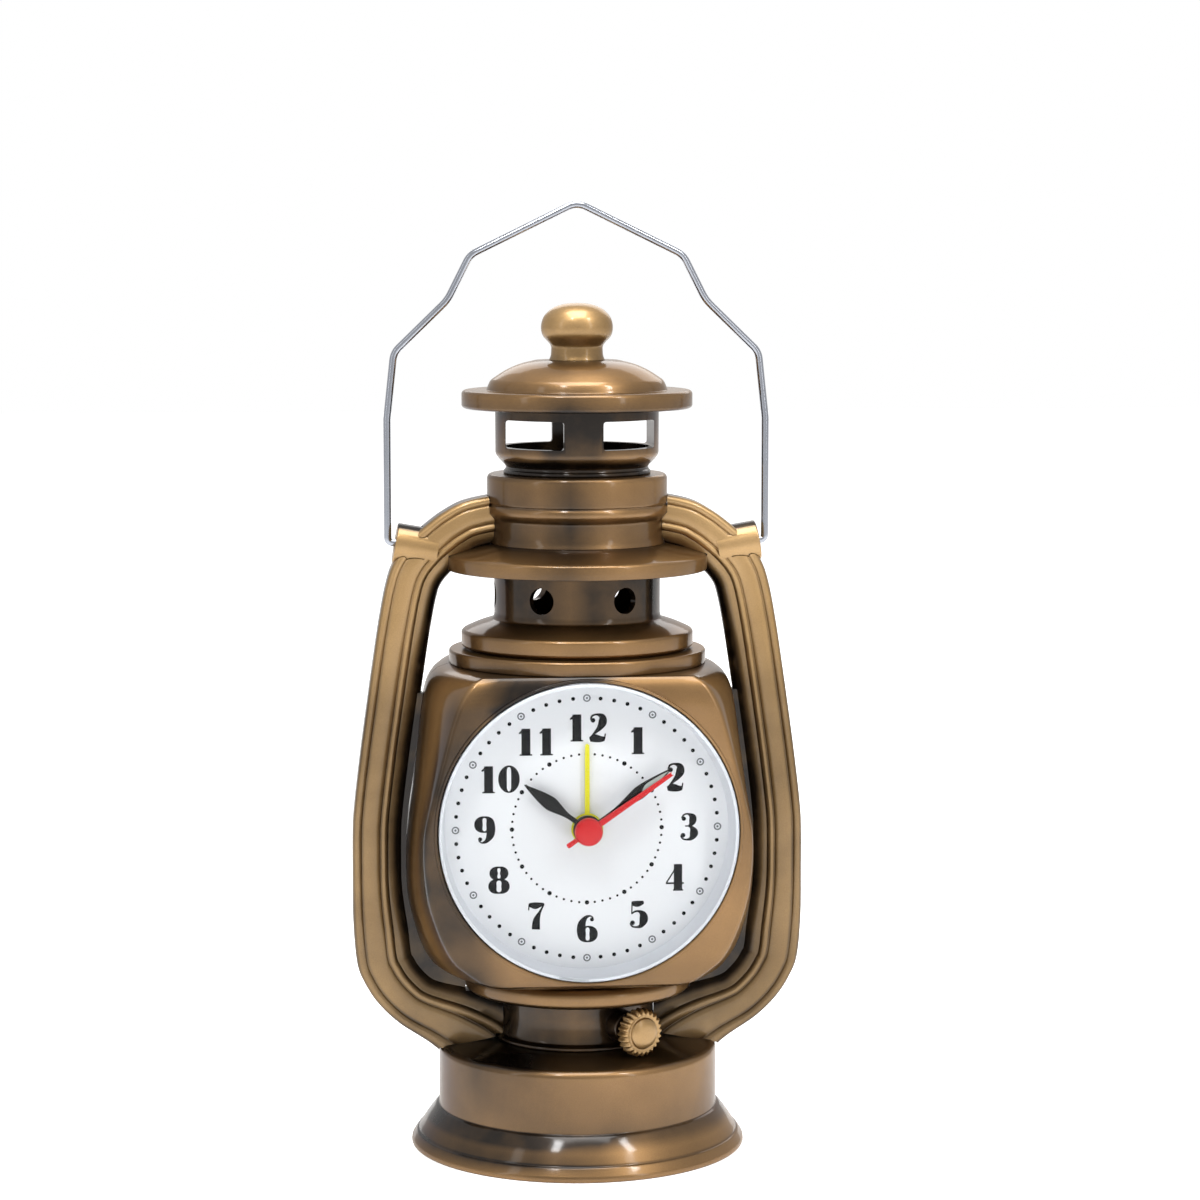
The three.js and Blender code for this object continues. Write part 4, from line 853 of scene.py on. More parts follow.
class MarkPress(GeometrySheet):
    """Sets one mark round the dial, on the hours or on the minutes between them."""

    INPUTS = (("Count", "Int"), ("Radius", "Float"), ("Step", "Int"), ("Hours", "Bool"), ("Height", "Float"))
    MINUTES = 60
    HOUR_STEP = 5

    def shaped(self) -> Socket:
        """Sets the mark on the chosen points of an upright circle."""
        given = self.given
        circle = self.add("GeometryNodeMeshCircle")
        self.link(given["Count"], circle.inputs["Vertices"])
        self.link(given["Radius"], circle.inputs["Radius"])
        lift = self.add("ShaderNodeCombineXYZ")
        self.link(given["Height"], lift.inputs["Z"])
        stand = self.add("GeometryNodeTransform")
        stand.inputs["Rotation"].default_value = (QUARTER_TURN, 0, 0)
        self.link(circle.outputs[0], stand.inputs["Geometry"])
        self.link(lift.outputs[0], stand.inputs["Translation"])
        rest = self.math("MODULO", self.add("GeometryNodeInputIndex").outputs[0], given["Step"])
        wanted = self.add("FunctionNodeBooleanMath", operation="XNOR")
        self.link(self.math("LESS_THAN", rest, 0.5), wanted.inputs[0])
        self.link(given["Hours"], wanted.inputs[1])
        spread = self.add("GeometryNodeInstanceOnPoints")
        self.link(stand.outputs[0], spread.inputs["Points"])
        self.link(wanted.outputs[0], spread.inputs["Selection"])
        self.link(given["Geometry"], spread.inputs["Instance"])
        return spread.outputs[0]

    def run(self, piece: bpy.types.Object, ring: MarkRing, height: float, finish: bpy.types.Material) -> None:
        """Repeats a mark round the dial.

        Args:
            piece: The piece that holds one mark.
            ring: Where the marks go.
            height: The height of the clock's axis in millimetres.
            finish: The marks' material.
        """
        self.press(piece, finish, Count=self.MINUTES, Radius=ring.radius * MM, Step=self.HOUR_STEP,
                   Hours=ring.hours, Height=height * MM)


class Repeater(GeometrySheet):
    """Sets copies of a small piece in a row."""

    INPUTS = (("Count", "Int"), ("Pitch", "Vector"))

    def shaped(self) -> Socket:
        """Sets the copies on the points of a line."""
        row = self.add("GeometryNodeMeshLine")
        self.link(self.given["Count"], row.inputs["Count"])
        self.link(self.given["Pitch"], row.inputs["Offset"])
        spread = self.add("GeometryNodeInstanceOnPoints")
        self.link(row.outputs[0], spread.inputs["Points"])
        self.link(self.given["Geometry"], spread.inputs["Instance"])
        return spread.outputs[0]

    def run(self, piece: bpy.types.Object, count: int, pitch: float, finish: bpy.types.Material) -> None:
        """Repeats a piece along X.

        Args:
            piece: The piece that holds the first copy.
            count: How many copies there are.
            pitch: The step from one copy to the next in millimetres.
            finish: The copies' material.
        """
        self.press(piece, finish, Count=count, Pitch=[pitch * MM, 0.0, 0.0])


# Smoky tint with painted shade, painted highlights and painted reflections


def fade(value: float, start: float, stop: float) -> float:
    """Returns 0 where a value is at or before start, 1 at or past stop, and a smooth change between."""
    share = max(0.0, min(1.0, (value - start) / (stop - start)))
    return share * share * (3 - 2 * share)


class Way(Enum):
    """What a patch of shading fades along."""

    LEFT = "left"
    RIGHT = "right"
    FRONT = "front"
    REAR = "rear"
    UP = "up"
    ASIDE = "aside"
    DEEP = "deep"
    ROUND = "round"


MEASURES: dict[Way, Callable[[Vector], float]] = {
    Way.LEFT: lambda point: -point.x,
    Way.RIGHT: lambda point: point.x,
    Way.FRONT: lambda point: -point.y,
    Way.REAR: lambda point: point.y,
    Way.UP: lambda point: point.z,
    Way.ASIDE: lambda point: abs(point.x),
    Way.DEEP: lambda point: abs(point.y),
    Way.ROUND: lambda point: math.hypot(point.x, point.y),
}


@dataclass(frozen=True)
class Patch:
    """A patch of painted shade, a painted highlight where its strength is below 0: its strength and the ways
    it fades in along, each with its start and stop.
    """

    strength: float
    fades: tuple[tuple[Way, float, float], ...]

    def at(self, point: Vector) -> float:
        """Returns the patch's shading at a point in millimetres."""
        return math.prod((fade(MEASURES[way](point), start, stop) for way, start, stop in self.fades),
                         start=self.strength)


@dataclass(frozen=True)
class Streak:
    """An upright streak of painted reflection, dark where its strength is above 0 and a painted highlight
    below 0: its strength, its middle from left to right, and its half width.
    """

    strength: float
    middle: float
    half: float

    def at(self, point: Vector) -> float:
        """Returns the streak's shading at a point in millimetres."""
        return self.strength * max(0.0, 1 - abs(point.x - self.middle) / self.half)


@dataclass(frozen=True)
class Shade:
    """A piece's smoky tint and painted shade: an even base, rows of (height, strength), and marks on top."""

    base: float = 0.0
    rows: tuple[Point2, ...] = ()
    marks: tuple[Patch | Streak, ...] = ()
    limit: float = 1.0

    def __call__(self, point: Vector) -> float:
        """Returns the shading at a point in millimetres, from 0 up to the limit."""
        total = self.base + self.row(point.z) + sum(mark.at(point) for mark in self.marks)
        return max(0.0, min(self.limit, total))

    def row(self, height: float) -> float:
        """Reads the rows at a height."""
        if not self.rows:
            return 0.0
        for low, high in zip(self.rows, self.rows[1:]):
            if low[0] <= height <= high[0]:
                return low[1] + (high[1] - low[1]) * (height - low[0]) / (high[0] - low[0])
        return self.rows[0][1] if height < self.rows[0][0] else self.rows[-1][1]


# Pieces on their bodies


class SubAssembly:
    """A group of pieces that are built, finished and put on their bodies together."""

    def __init__(self, shelf: FinishShelf) -> None:
        """Keeps the finishes.

        Args:
            shelf: Where the materials come from.
        """
        self.shelf = shelf

    def put(self, name: str, shape: Shape | bpy.types.Mesh, finish: str, slot: Slot, body: str,
            replaces: Sequence[str] = (), smoke: SmokeAndPaintedShade | None = None, sharp: float = 34.0,
            press: Press | None = None) -> bpy.types.Object:
        """Turns a shape into a finished piece.

        Args:
            name: The piece's name.
            shape: The shape in millimetres, or a mesh in metres.
            finish: The finish's name on the shelf.
            slot: The record's material slot; not used.
            body: The CAD body that it rides on.
            replaces: The CAD nodes that it stands for.
            smoke: How much smoky tint and painted shade a point in millimetres has, from 0 to 1.
            sharp: Edges above this angle, in degrees, stay crisp.
            press: What still shapes the piece before it is put on its body.

        Returns:
            The piece.
        """
        mesh = shape.mesh(name) if isinstance(shape, Shape) else shape
        mesh.materials.append(self.shelf.get(finish))
        piece = bpy.data.objects.new(name, mesh)
        bpy.context.scene.collection.objects.link(piece)
        if press is not None:
            press(piece)
        mesh = piece.data
        mesh.shade_smooth()
        mesh.set_sharp_from_angle(angle=math.radians(sharp))
        # Stores the smoky tint and painted shade at each point as an attribute for the lacquer.
        if smoke is not None:
            layer = mesh.attributes.new("smoke", "FLOAT", "POINT")
            layer.data.foreach_set("value", [smoke(vertex.co / MM) for vertex in mesh.vertices])
        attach(piece, body)
        if replaces:
            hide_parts(*replaces)
        LOG.info("%s: %d faces on %s", name, len(mesh.polygons), body)
        return piece

    def bronze(self, name: str, shape: Shape | bpy.types.Mesh, node: str, smoke: SmokeAndPaintedShade) -> bpy.types.Object:
        """Turns a shape into a bronze piece of the lantern.

        Args:
            name: The piece's name.
            shape: The shape in millimetres, or a mesh in metres.
            node: The CAD node that it stands for.
            smoke: Its smoky tint and painted shade.

        Returns:
            The piece.
        """
        return self.put(name, shape, "bronze_lacquer", Slot.BRONZE, LANTERN, (node,), smoke)

    def black(self, name: str, shape: Shape | bpy.types.Mesh, body: str, nodes: Sequence[str] = (),
              press: Press | None = None) -> bpy.types.Object:
        """Turns a shape into a black moulding.

        Args:
            name: The piece's name.
            shape: The shape in millimetres, or a mesh in metres.
            body: The CAD body that it rides on.
            nodes: The CAD nodes that it stands for.
            press: What still shapes the piece before it is put on its body.

        Returns:
            The piece.
        """
        return self.put(name, shape, "black_moulding", Slot.BLACK_PLASTIC, body, nodes, press=press)


# Foot and burner


@dataclass(frozen=True)
class FootSizes:
    """Outlines of the tank, as (radius, height, rounding) in millimetres."""

    outside: Outline = (
        (33.3, 0), (36.3, 0, 0.3), (36.75, 0.5, 0.3), (36.65, 1.3, 0.3), (35.5, 3.0, 0.3), (35.1, 3.2, 0.15),
        (34.9, 3.6, 0.3), (33.0, 6.5, 2.5), (31.3, 8.6, 0.8), (30.6, 9.0, 0.2), (30.6, 21.6, 0.9),
        (29.6, 22.6, 0.6), (25.5, 23.1, 1.0), (19, 23.9),
    )
    inside: Outline = (
        (2.4, 23.9), (2.4, 22), (19, 22), (28.6, 19), (28.6, 8), (33.3, 4),
    )
    # Smoky tint with painted shade: darker in the foot's creases, on the tank top, on the left and towards
    # the back.
    shade: Shade = Shade(
        rows=((0, 0.1), (2.8, 0.15), (3.2, 0.6), (3.7, 0.2), (5.5, 0.1), (7.4, 0.6), (9.0, 0.75), (9.6, 0.15),
              (13, 0.0), (18.5, 0.05), (20.8, 0.25), (21.8, 0.2), (22.4, 0.65), (24, 0.7)),
        marks=(Patch(0.65, ((Way.LEFT, -14, 12), (Way.UP, 9.2, 8.6), (Way.UP, 0.5, 3.0))),
               Patch(0.5, ((Way.LEFT, 2, 22), (Way.UP, 14, 20))),
               Patch(0.5, ((Way.REAR, 5, 20),))))


class Foot(SubAssembly):
    """The tank that the lantern stands on."""

    def build(self, sizes: FootSizes) -> None:
        """Makes the tank.

        Args:
            sizes: The tank's outlines.
        """
        outline = softened([*sizes.outside, *sizes.inside], steps=FINE_STEPS)
        self.bronze("tank_wall", turned(outline), "tank_shell", sizes.shade)


@dataclass(frozen=True)
class BurnerSizes:
    """The neck and its wick boss, in millimetres."""

    outline: Outline = (
        (13, 24), (18.5, 24, 0.2), (18.5, 24.7, 0.3), (17.2, 25.2, 0.4), (17, 26.5, 0.6), (16.6, 29.4, 3.0),
        (16.8, 32.0, 1.0), (17, 34.4), (13, 34.4),
    )
    boss: Outline = ((0, 15.0), (3.6, 15.0), (3.6, 20.0, 0.5), (1.9, 20.0, 0.2), (1.9, 19.0), (0, 19.0))
    boss_sides: int = 48
    # Painted shadow over most of the neck under the globe's ring, with a painted highlight streak just left
    # of the middle.
    shade: Shade = Shade(rows=((24, 0.95), (26, 0.95), (30, 0.85), (34, 1.0)), marks=(Streak(-0.25, -2, 5),))
    height: float = 28.8
    azimuth: float = math.radians(29)


@dataclass(frozen=True)
class RingSizes:
    """The ring under the globe."""

    outline: Outline = (
        (2.4, 34.4), (23.6, 34.4, 0.8), (24.95, 35.4, 0.9), (24.95, 37.7, 0.9), (24.0, 38.8, 0.6), (15, 38.8),
        (15, 36.2), (2.4, 36.2),
    )
    # Painted shade on the globe's seat ring: darker on the left, along its lower edge and towards the back.
    shade: Shade = Shade(0.08, limit=2.0, marks=(
        Patch(0.5, ((Way.LEFT, 8, 22),)), Patch(0.6, ((Way.UP, 35.6, 34.8),)),
        Patch(0.5, ((Way.REAR, 0, 15),))))


def wick_matrix(sizes: BurnerSizes) -> Matrix:
    """Places a piece turned about Z so that its top points out along the wick shaft."""
    return (Matrix.Translation((0, 0, sizes.height)) @ Matrix.Rotation(sizes.azimuth, 4, "Z")
            @ Matrix.Rotation(QUARTER_TURN, 4, "X"))


class Burner(SubAssembly):
    """The neck between tank and globe, the ring on it and the wick knob."""

    WICK = KnobSizes(
        profile=((0, 15), (1.5, 15, 0.2), (1.5, 22.4), (2.6, 22.5, 0.2), (4.9, 22.7, 0.4), (5.25, 23.2, 0.4),
                 (5.25, 25.0, 0.6), (4.6, 25.75, 0.5), (3.7, 25.5, 0.3), (3.35, 25.55, 0.2), (3.3, 26.0, 0.7),
                 (2.2, 26.6, 0.8), (0, 26.75)),
        flutes=24, flute_depth=0.55, rim_radius=5.25)

    def build(self, sizes: BurnerSizes, ring: RingSizes) -> None:
        """Makes the neck, the ring and the wick knob.

        Args:
            sizes: The sizes of the neck and its boss.
            ring: The ring's sizes.
        """
        matrix = wick_matrix(sizes)
        boss = turned(softened(sizes.boss), sizes.boss_sides).moved(matrix)
        neck = carved(turned(softened(sizes.outline)), [("UNION", boss)], "burner_wall")
        self.bronze("burner_wall", neck, "burner_neck", sizes.shade)
        self.bronze("globe_seat_ring", turned(softened(ring.outline)), "foot_ring", ring.shade)
        knob = turned(softened(self.WICK.profile), self.WICK.sides).moved(matrix)
        way = matrix.to_3x3() @ Vector((0, 0, 1))
        gold = self.shelf.get("gold_lacquer")
        flutes = Flutes()
        self.put("wick_knob_turned", knob, "gold_lacquer", Slot.GOLD, "wick", ("wick_knob",), Shade(0.05),
                 press=lambda piece: flutes.cut(piece, self.WICK, (0, 0, sizes.height), tuple(way), gold))


# Globe


@dataclass(frozen=True)
class GlobeSizes:
    """The clock case, in millimetres; each level is (height, half width, panel half width, half depth)."""

    levels: Outline = (
        (34.4, 24.6, 9.1, 23.1), (38.9, 24.6, 9.1, 23.1), (40.05, 28.7, 17.0, 27.3),
        (41.1, 31.6, 21.2, 29.5), (42.5, 33.1, 23.4, 29.95), (46.4, 34.95, 28.3, 29.95),
        (55.1, 37.25, 32.5, 29.95), (63.4, 37.75, 34.4, 29.95), (73.0, 37.15, 34.75, 29.95),
        (80.8, 36.1, 33.1, 29.95), (90.6, 35.0, 30.6, 29.95), (98.9, 34.0, 28.2, 29.95),
        (102.2, 33.25, 26.8, 29.9), (104.4, 32.2, 25.5, 29.55), (105.9, 30.6, 24.3, 28.95),
        (106.9, 27.9, 22.6, 28.2),
    )
    level_steps: int = 76
    wall: float = 2.0
    floor: float = 41.0
    edge: float = 1.0
    axis: float = 74.0
    opening: float = 32.1
    bore: float = 28.5
    bore_back: float = -12
    front_wall: float = 33.9
    wall_front: float = -34
    cut_front: float = -36
    dial_back: float = -23.0
    ledge_back: float = -21.5
    cover_bore: float = 29.8
    rear_wall: float = 31.6
    seat: float = 25.3
    seat_top: float = 39.1
    split: float = -0.15
    tie_hole: float = 12.0
    tie_depth: float = 3
    past: float = 5
    reach: float = 60.0
    lip: Outline = ((32.12, -30.35, 0.15), (32.75, -30.45, 0.25), (32.85, -29.6), (32.12, -29.6))
    shoulder: Outline = (
        (20, 106.9), (28.05, 106.9, 0.3), (28.05, 109.6, 0.3), (27.7, 110.0, 0.2), (20, 110.0),
    )
    # Painted shade and dark reflections: darker on the panel's left, above the dial on the left, low down, at
    # the outer sides, away from the front and at the top edge under the shoulder ring.
    shade: Shade = Shade(0.06, marks=(
        Patch(0.75, ((Way.LEFT, 14, 26), (Way.UP, 106, 98), (Way.FRONT, 20, 28))),
        Patch(1.0, ((Way.UP, 97, 100.5), (Way.LEFT, -8, 2), (Way.LEFT, 24, 17), (Way.FRONT, 20, 28))),
        Patch(0.3, ((Way.UP, 48, 40),)),
        Patch(0.35, ((Way.ASIDE, 33, 36.5),)),
        Patch(0.3, ((Way.FRONT, 20, 8),)),
        Patch(0.4, ((Way.UP, 106.2, 106.9),))))
    # Painted shade on the shoulder ring: darker on the left and at its lower edge, with a painted highlight
    # towards the right.
    shoulder_shade: Shade = Shade(0.12, marks=(
        Patch(0.3, ((Way.LEFT, 0, 22),)), Patch(0.4, ((Way.UP, 107.6, 106.9),)),
        Patch(-0.1, ((Way.RIGHT, 0, 20),))))


class Globe(SubAssembly):
    """The barrel-shaped case in two halves, and the shoulder ring on it."""

    INNER_EDGE = 0.2
    EDGE_SHARES = (0.25, 0.5, 0.75)
    FLAT_STEPS = 6
    SIDE_STEPS = 28

    def section(self, level: Sequence[float], sizes: GlobeSizes, inset: float) -> list[Point2]:
        """Returns one level's outline as (x, y) points.

        Args:
            level: Half width, panel half width and half depth.
            sizes: The case's sizes.
            inset: How far the outline is drawn in.

        Returns:
            The closed outline.
        """
        width, panel, depth = (value - inset for value in level)
        edge = sizes.edge if inset == 0 else self.INNER_EDGE

        def side(along: float) -> Vector:
            return Vector((panel + (width - panel) * (1 - along * along), depth * along))

        def eased(first: Vector, corner: Vector, last: Vector) -> list[Point2]:
            return [tuple(first.lerp(corner, share).lerp(corner.lerp(last, share), share))
                    for share in self.EDGE_SHARES]

        flat = [(panel - edge) * step / self.FLAT_STEPS for step in range(1, self.FLAT_STEPS + 1)]
        start = 1 - edge / depth
        right = [(x, -depth) for x in flat]
        right += eased(Vector((panel - edge, -depth)), side(-1), side(-start))
        right += [tuple(side(-start + 2 * start * step / self.SIDE_STEPS))
                  for step in range(self.SIDE_STEPS + 1)]
        right += eased(side(start), side(1), Vector((panel - edge, depth)))
        right += [(x, depth) for x in reversed(flat)]
        return [(0, -depth), *right, (0, depth), *[(-x, y) for x, y in reversed(right)]]

    def barrel(self, sizes: GlobeSizes, inset: float, bottom: float, top: float) -> Shape:
        """Makes the whole barrel between two heights.

        Args:
            sizes: The case's sizes.
            inset: How far the barrel is drawn in.
            bottom: The height of its lowest outline.
            top: The height of its highest outline.

        Returns:
            The closed barrel.
        """
        low, high = sizes.levels[0][0], sizes.levels[-1][0]
        rings = []
        for step in range(sizes.level_steps + 1):
            share = step / sizes.level_steps
            level = smooth_table(sizes.levels, low + (high - low) * share)
            height = bottom + (top - bottom) * share
            rings.append([(x, y, height) for x, y in self.section(level, sizes, inset)])
        return lofted(rings)

    def half(self, sizes: GlobeSizes, wall: float, name: str) -> list[tuple[str, Shape]]:
        """Returns the cuts that turn the barrel into a half that faces -Y.

        Args:
            sizes: The case's sizes.
            wall: The radius of the thick wall round the half's opening.
            name: The half's name.

        Returns:
            The operations with their shapes.
        """
        low, high = sizes.levels[0][0], sizes.levels[-1][0]
        under, over = low - sizes.past, high + sizes.past
        ring = rod(wall, sizes.wall_front, sizes.ledge_back, Axis.CLOCK, sizes.axis)
        inside = self.barrel(sizes, sizes.wall, sizes.floor, high - sizes.wall)
        return cuts(shape_of(carved(inside, cuts(ring), name + "_cavity")),
                    box((-sizes.reach, sizes.split, under), (sizes.reach, sizes.reach, over)),
                    rod(sizes.seat, under, sizes.seat_top, Axis.VERTICAL),
                    rod(sizes.tie_hole, high - sizes.tie_depth, over, Axis.VERTICAL))

    def build(self, sizes: GlobeSizes) -> None:
        """Makes both halves and the shoulder ring.

        Args:
            sizes: The case's sizes.
        """
        outer = self.barrel(sizes, 0, sizes.levels[0][0], sizes.levels[-1][0])
        lip = turned(softened(sizes.lip, closed=True), axis=Axis.CLOCK, height=sizes.axis)
        opening = rod(sizes.opening, sizes.cut_front, sizes.dial_back, Axis.CLOCK, sizes.axis)
        bore = rod(sizes.bore, sizes.cut_front, sizes.bore_back, Axis.CLOCK, sizes.axis)
        halving = self.half(sizes, sizes.front_wall, "front")
        front = carved(outer, [*halving, *cuts(opening, bore), ("UNION", lip)], "globe_front")
        self.bronze("globe_front", front, "globe_front_shell", sizes.shade)
        cover_bore = rod(sizes.cover_bore, sizes.cut_front, sizes.ledge_back, Axis.CLOCK, sizes.axis)
        rear = carved(outer, [*self.half(sizes, sizes.rear_wall, "rear"), *cuts(cover_bore)], "globe_rear")
        rear.transform(Matrix.Rotation(math.pi, 4, "Z"))
        self.bronze("globe_rear", rear, "globe_rear_shell", sizes.shade)
        self.bronze("globe_shoulder", turned(softened(sizes.shoulder)), "shoulder_ring", sizes.shoulder_shade)


# Chimney


@dataclass(frozen=True)
class ChimneySizes:
    """The turned pieces over the globe, as closed outlines of (radius, height, rounding)."""

    vent: Outline = (
        (20, 110.0), (23.9, 110.0, 0.1), (24, 110.4, 0.1), (24.9, 110.5, 0.2), (25.3, 110.9, 0.3),
        (25.3, 113.7, 0.3), (24.9, 114.2, 0.3), (21.8, 115.6, 2.0), (18.4, 116.6, 1.0), (18.1, 117.6, 0.6),
        (18.1, 131.6), (16.3, 131.6), (16.3, 117.5),
    )
    skirt: Outline = (
        (27, 127.3, 0.3), (28.35, 127.3, 0.3), (28.35, 130.2, 0.35), (27.7, 130.6, 0.3), (22.5, 132.2, 2.5),
        (19.3, 133.0), (15.5, 133.0), (15.5, 131.7), (18.4, 131.7), (18.4, 130.6), (27, 128.4),
    )
    collar: Outline = (
        (15.5, 133.0), (19.1, 133.0, 0.2), (18.6, 134.2, 0.9), (18.5, 138.3, 0.6), (19.1, 139.0, 0.5),
        (19.7, 139.9, 0.7), (19.7, 140.9, 0.5), (19.3, 141.5, 0.2), (19.6, 141.9, 0.3), (19.6, 147.4, 0.5),
        (19.1, 148.1, 0.4), (15.5, 148.1),
    )
    gallery: Outline = (
        (9, 148.1), (16, 148.1, 0.3), (16, 148.8, 0.3), (15.45, 149.3, 0.5), (15.6, 150.0, 0.5),
        (16.7, 151.0, 0.8), (17.75, 152.4, 0.6), (17.8, 162.3), (15.6, 162.3), (15.6, 151.6), (9, 151.6),
    )
    cap: Outline = (
        (16.8, 162.3), (24.6, 162.3, 0.3), (25.05, 162.8, 0.3), (25.05, 165.7, 0.35), (24.5, 166.2, 0.3),
        (19.7, 166.2, 0.2), (19.3, 167.2, 0.4), (18.8, 168.3, 0.8), (15.6, 170.45, 3.0), (12.6, 171.8, 2.0),
        (9.2, 172.6), (2.4, 172.6), (2.4, 170.8), (9.2, 170.8), (15, 167.4), (16.8, 165.4),
    )
    finial: Outline = (
        (0, 166), (2, 166), (2, 172.6), (6.1, 172.6, 0.2), (5.65, 173.6, 0.8), (5.55, 175.7, 0.6),
        (6.3, 176.6, 0.6), (7.55, 177.9, 1.6), (7.9, 179.9, 2.4), (7.3, 182.1, 2.4), (5.4, 183.9, 2.4),
        (2.8, 184.8, 3.0), (0, 184.95),
    )
    hole: float = 2.85
    holes: int = 6
    hole_sides: int = 40
    hole_height: float = 121.7
    reach: float = 26
    window: tuple[Point2, ...] = ((4.2, 154.0), (16.0, 154.0), (16.0, 160.1), (4.2, 160.1))
    window_corner: float = 0.7
    window_reach: float = 30
    # Painted shade on the vent neck: darker in the crease by the shoulder ring, up the neck under the skirt
    # and on the left of its lower part, with a painted highlight streak just left of the middle.
    vent_shade: Shade = Shade(
        rows=((110, 0.4), (110.6, 0.2), (111.2, 0.0), (113.4, 0.0), (114.2, 0.15), (116, 0.4), (117.2, 0.85),
              (118, 0.9), (132, 0.9)),
        marks=(Patch(0.35, ((Way.LEFT, 6, 20), (Way.UP, 117, 115))), Streak(-0.25, -3, 5)))
    # Painted shade by height: the skirt darker underneath and where it meets the collar; the collar darker
    # low down and under its upper band, with none on its lit shoulder.
    skirt_rows: tuple[Point2, ...] = (
        (127.0, 0.95), (127.6, 0.3), (129.8, 0.1), (130.4, 0.1), (131.6, 0.35), (132.4, 0.5), (133, 0.8),
    )
    collar_rows: tuple[Point2, ...] = (
        (133, 0.3), (134.2, 0.35), (136, 0.4), (138.3, 0.45), (139.3, 0.0), (141.0, 0.0), (141.5, 0.45),
        (142.2, 0.3), (144, 0.2), (147, 0.1), (148, 0.2),
    )
    # Painted shade on the gallery: dark inside, darker at its foot and from the windows up, on the left, and
    # in an upright strip just left of the middle.
    gallery_shade: Shade = Shade(
        rows=((148, 0.95), (149.4, 0.9), (150.6, 0.45), (152.5, 0.3), (154.5, 0.75), (158, 0.85),
              (160.5, 0.95), (162.3, 1.0)),
        marks=(Patch(1.0, ((Way.ROUND, 17.2, 15.9),)), Patch(0.3, ((Way.LEFT, 4, 18),)),
               Patch(0.45, ((Way.LEFT, -7, -2), (Way.LEFT, 11, 6)))))
    # Painted shade on the cap: darker under the brim, at the brim's top crease and next to the knob.
    cap_rows: tuple[Point2, ...] = (
        (162.3, 1.0), (162.8, 0.6), (163.6, 0.35), (165.6, 0.15), (166.2, 0.4), (167.6, 0.15), (169.5, 0.0),
        (171.5, 0.0), (172.6, 0.3),
    )
    # Painted shade on the knob: darker on its neck, fading out up the ball.
    finial_shade: Shade = Shade(rows=((172.6, 0.35), (174, 0.2), (176.6, 0.25), (178.5, 0.05), (184.5, 0.0)))


class Chimney(SubAssembly):
    """Vent neck, skirt, collar, gallery, cap and knob."""

    def build(self, sizes: ChimneySizes) -> None:
        """Makes the chimney's pieces from below upwards.

        Args:
            sizes: Their outlines.
        """
        drill = rod(sizes.hole, -sizes.reach, sizes.reach, Axis.CLOCK, sizes.hole_height, sizes.hole_sides)
        turns = [FULL_TURN * (index + 0.5) / sizes.holes for index in range(sizes.holes // 2)]
        holes = cuts(*(drill.moved(Matrix.Rotation(turn, 4, "Z")) for turn in turns))
        vent = carved(turned(softened(sizes.vent, closed=True)), holes, "vent_wall")
        self.bronze("vent_wall", vent, "vent_neck", sizes.vent_shade)
        self.ring("skirt_wall", sizes.skirt, "chimney_skirt", sizes.skirt_rows, side=0.15)
        self.ring("collar_wall", sizes.collar, "chimney_collar", sizes.collar_rows, side=0.5)
        windows = [[(x * side, z, sizes.window_corner) for x, z in sizes.window] for side in (1, -1)]
        openings = cuts(*(prism(softened(window, closed=True), -sizes.window_reach, sizes.window_reach)
                          for window in windows))
        gallery = carved(turned(softened(sizes.gallery, closed=True)), openings, "gallery_wall")
        self.bronze("gallery_wall", gallery, "gallery", sizes.gallery_shade)
        self.ring("cap_wall", sizes.cap, "chimney_cap", sizes.cap_rows, side=0.1)
        knob = turned(softened(sizes.finial, steps=FINE_STEPS))
        self.put("cap_knob", knob, "gold_lacquer", Slot.GOLD, LANTERN, ("finial",), sizes.finial_shade)

    def ring(self, name: str, outline: Outline, node: str, rows: tuple[Point2, ...], side: float) -> None:
        """Turns one ring of the chimney, with painted shade towards its left side and a painted dark
        reflection streak.

        Args:
            name: The piece's name.
            outline: Its closed outline.
            node: The CAD node that it stands for.
            rows: Its painted shade by height.
            side: How much painted shade its left side has.
        """
        radius = max(point[0] for point in outline)
        # Painted shade on the left side, and a painted dark reflection streak just left of the middle.
        marks = (Patch(0.7 * side, ((Way.LEFT, -0.5 * radius, 0.5 * radius),)),
                 Streak(0.3, -0.15 * radius, 0.3 * radius))
        self.bronze(name, turned(softened(outline, closed=True)), node, Shade(rows=rows, marks=marks))


# Side tubes and carrying wire


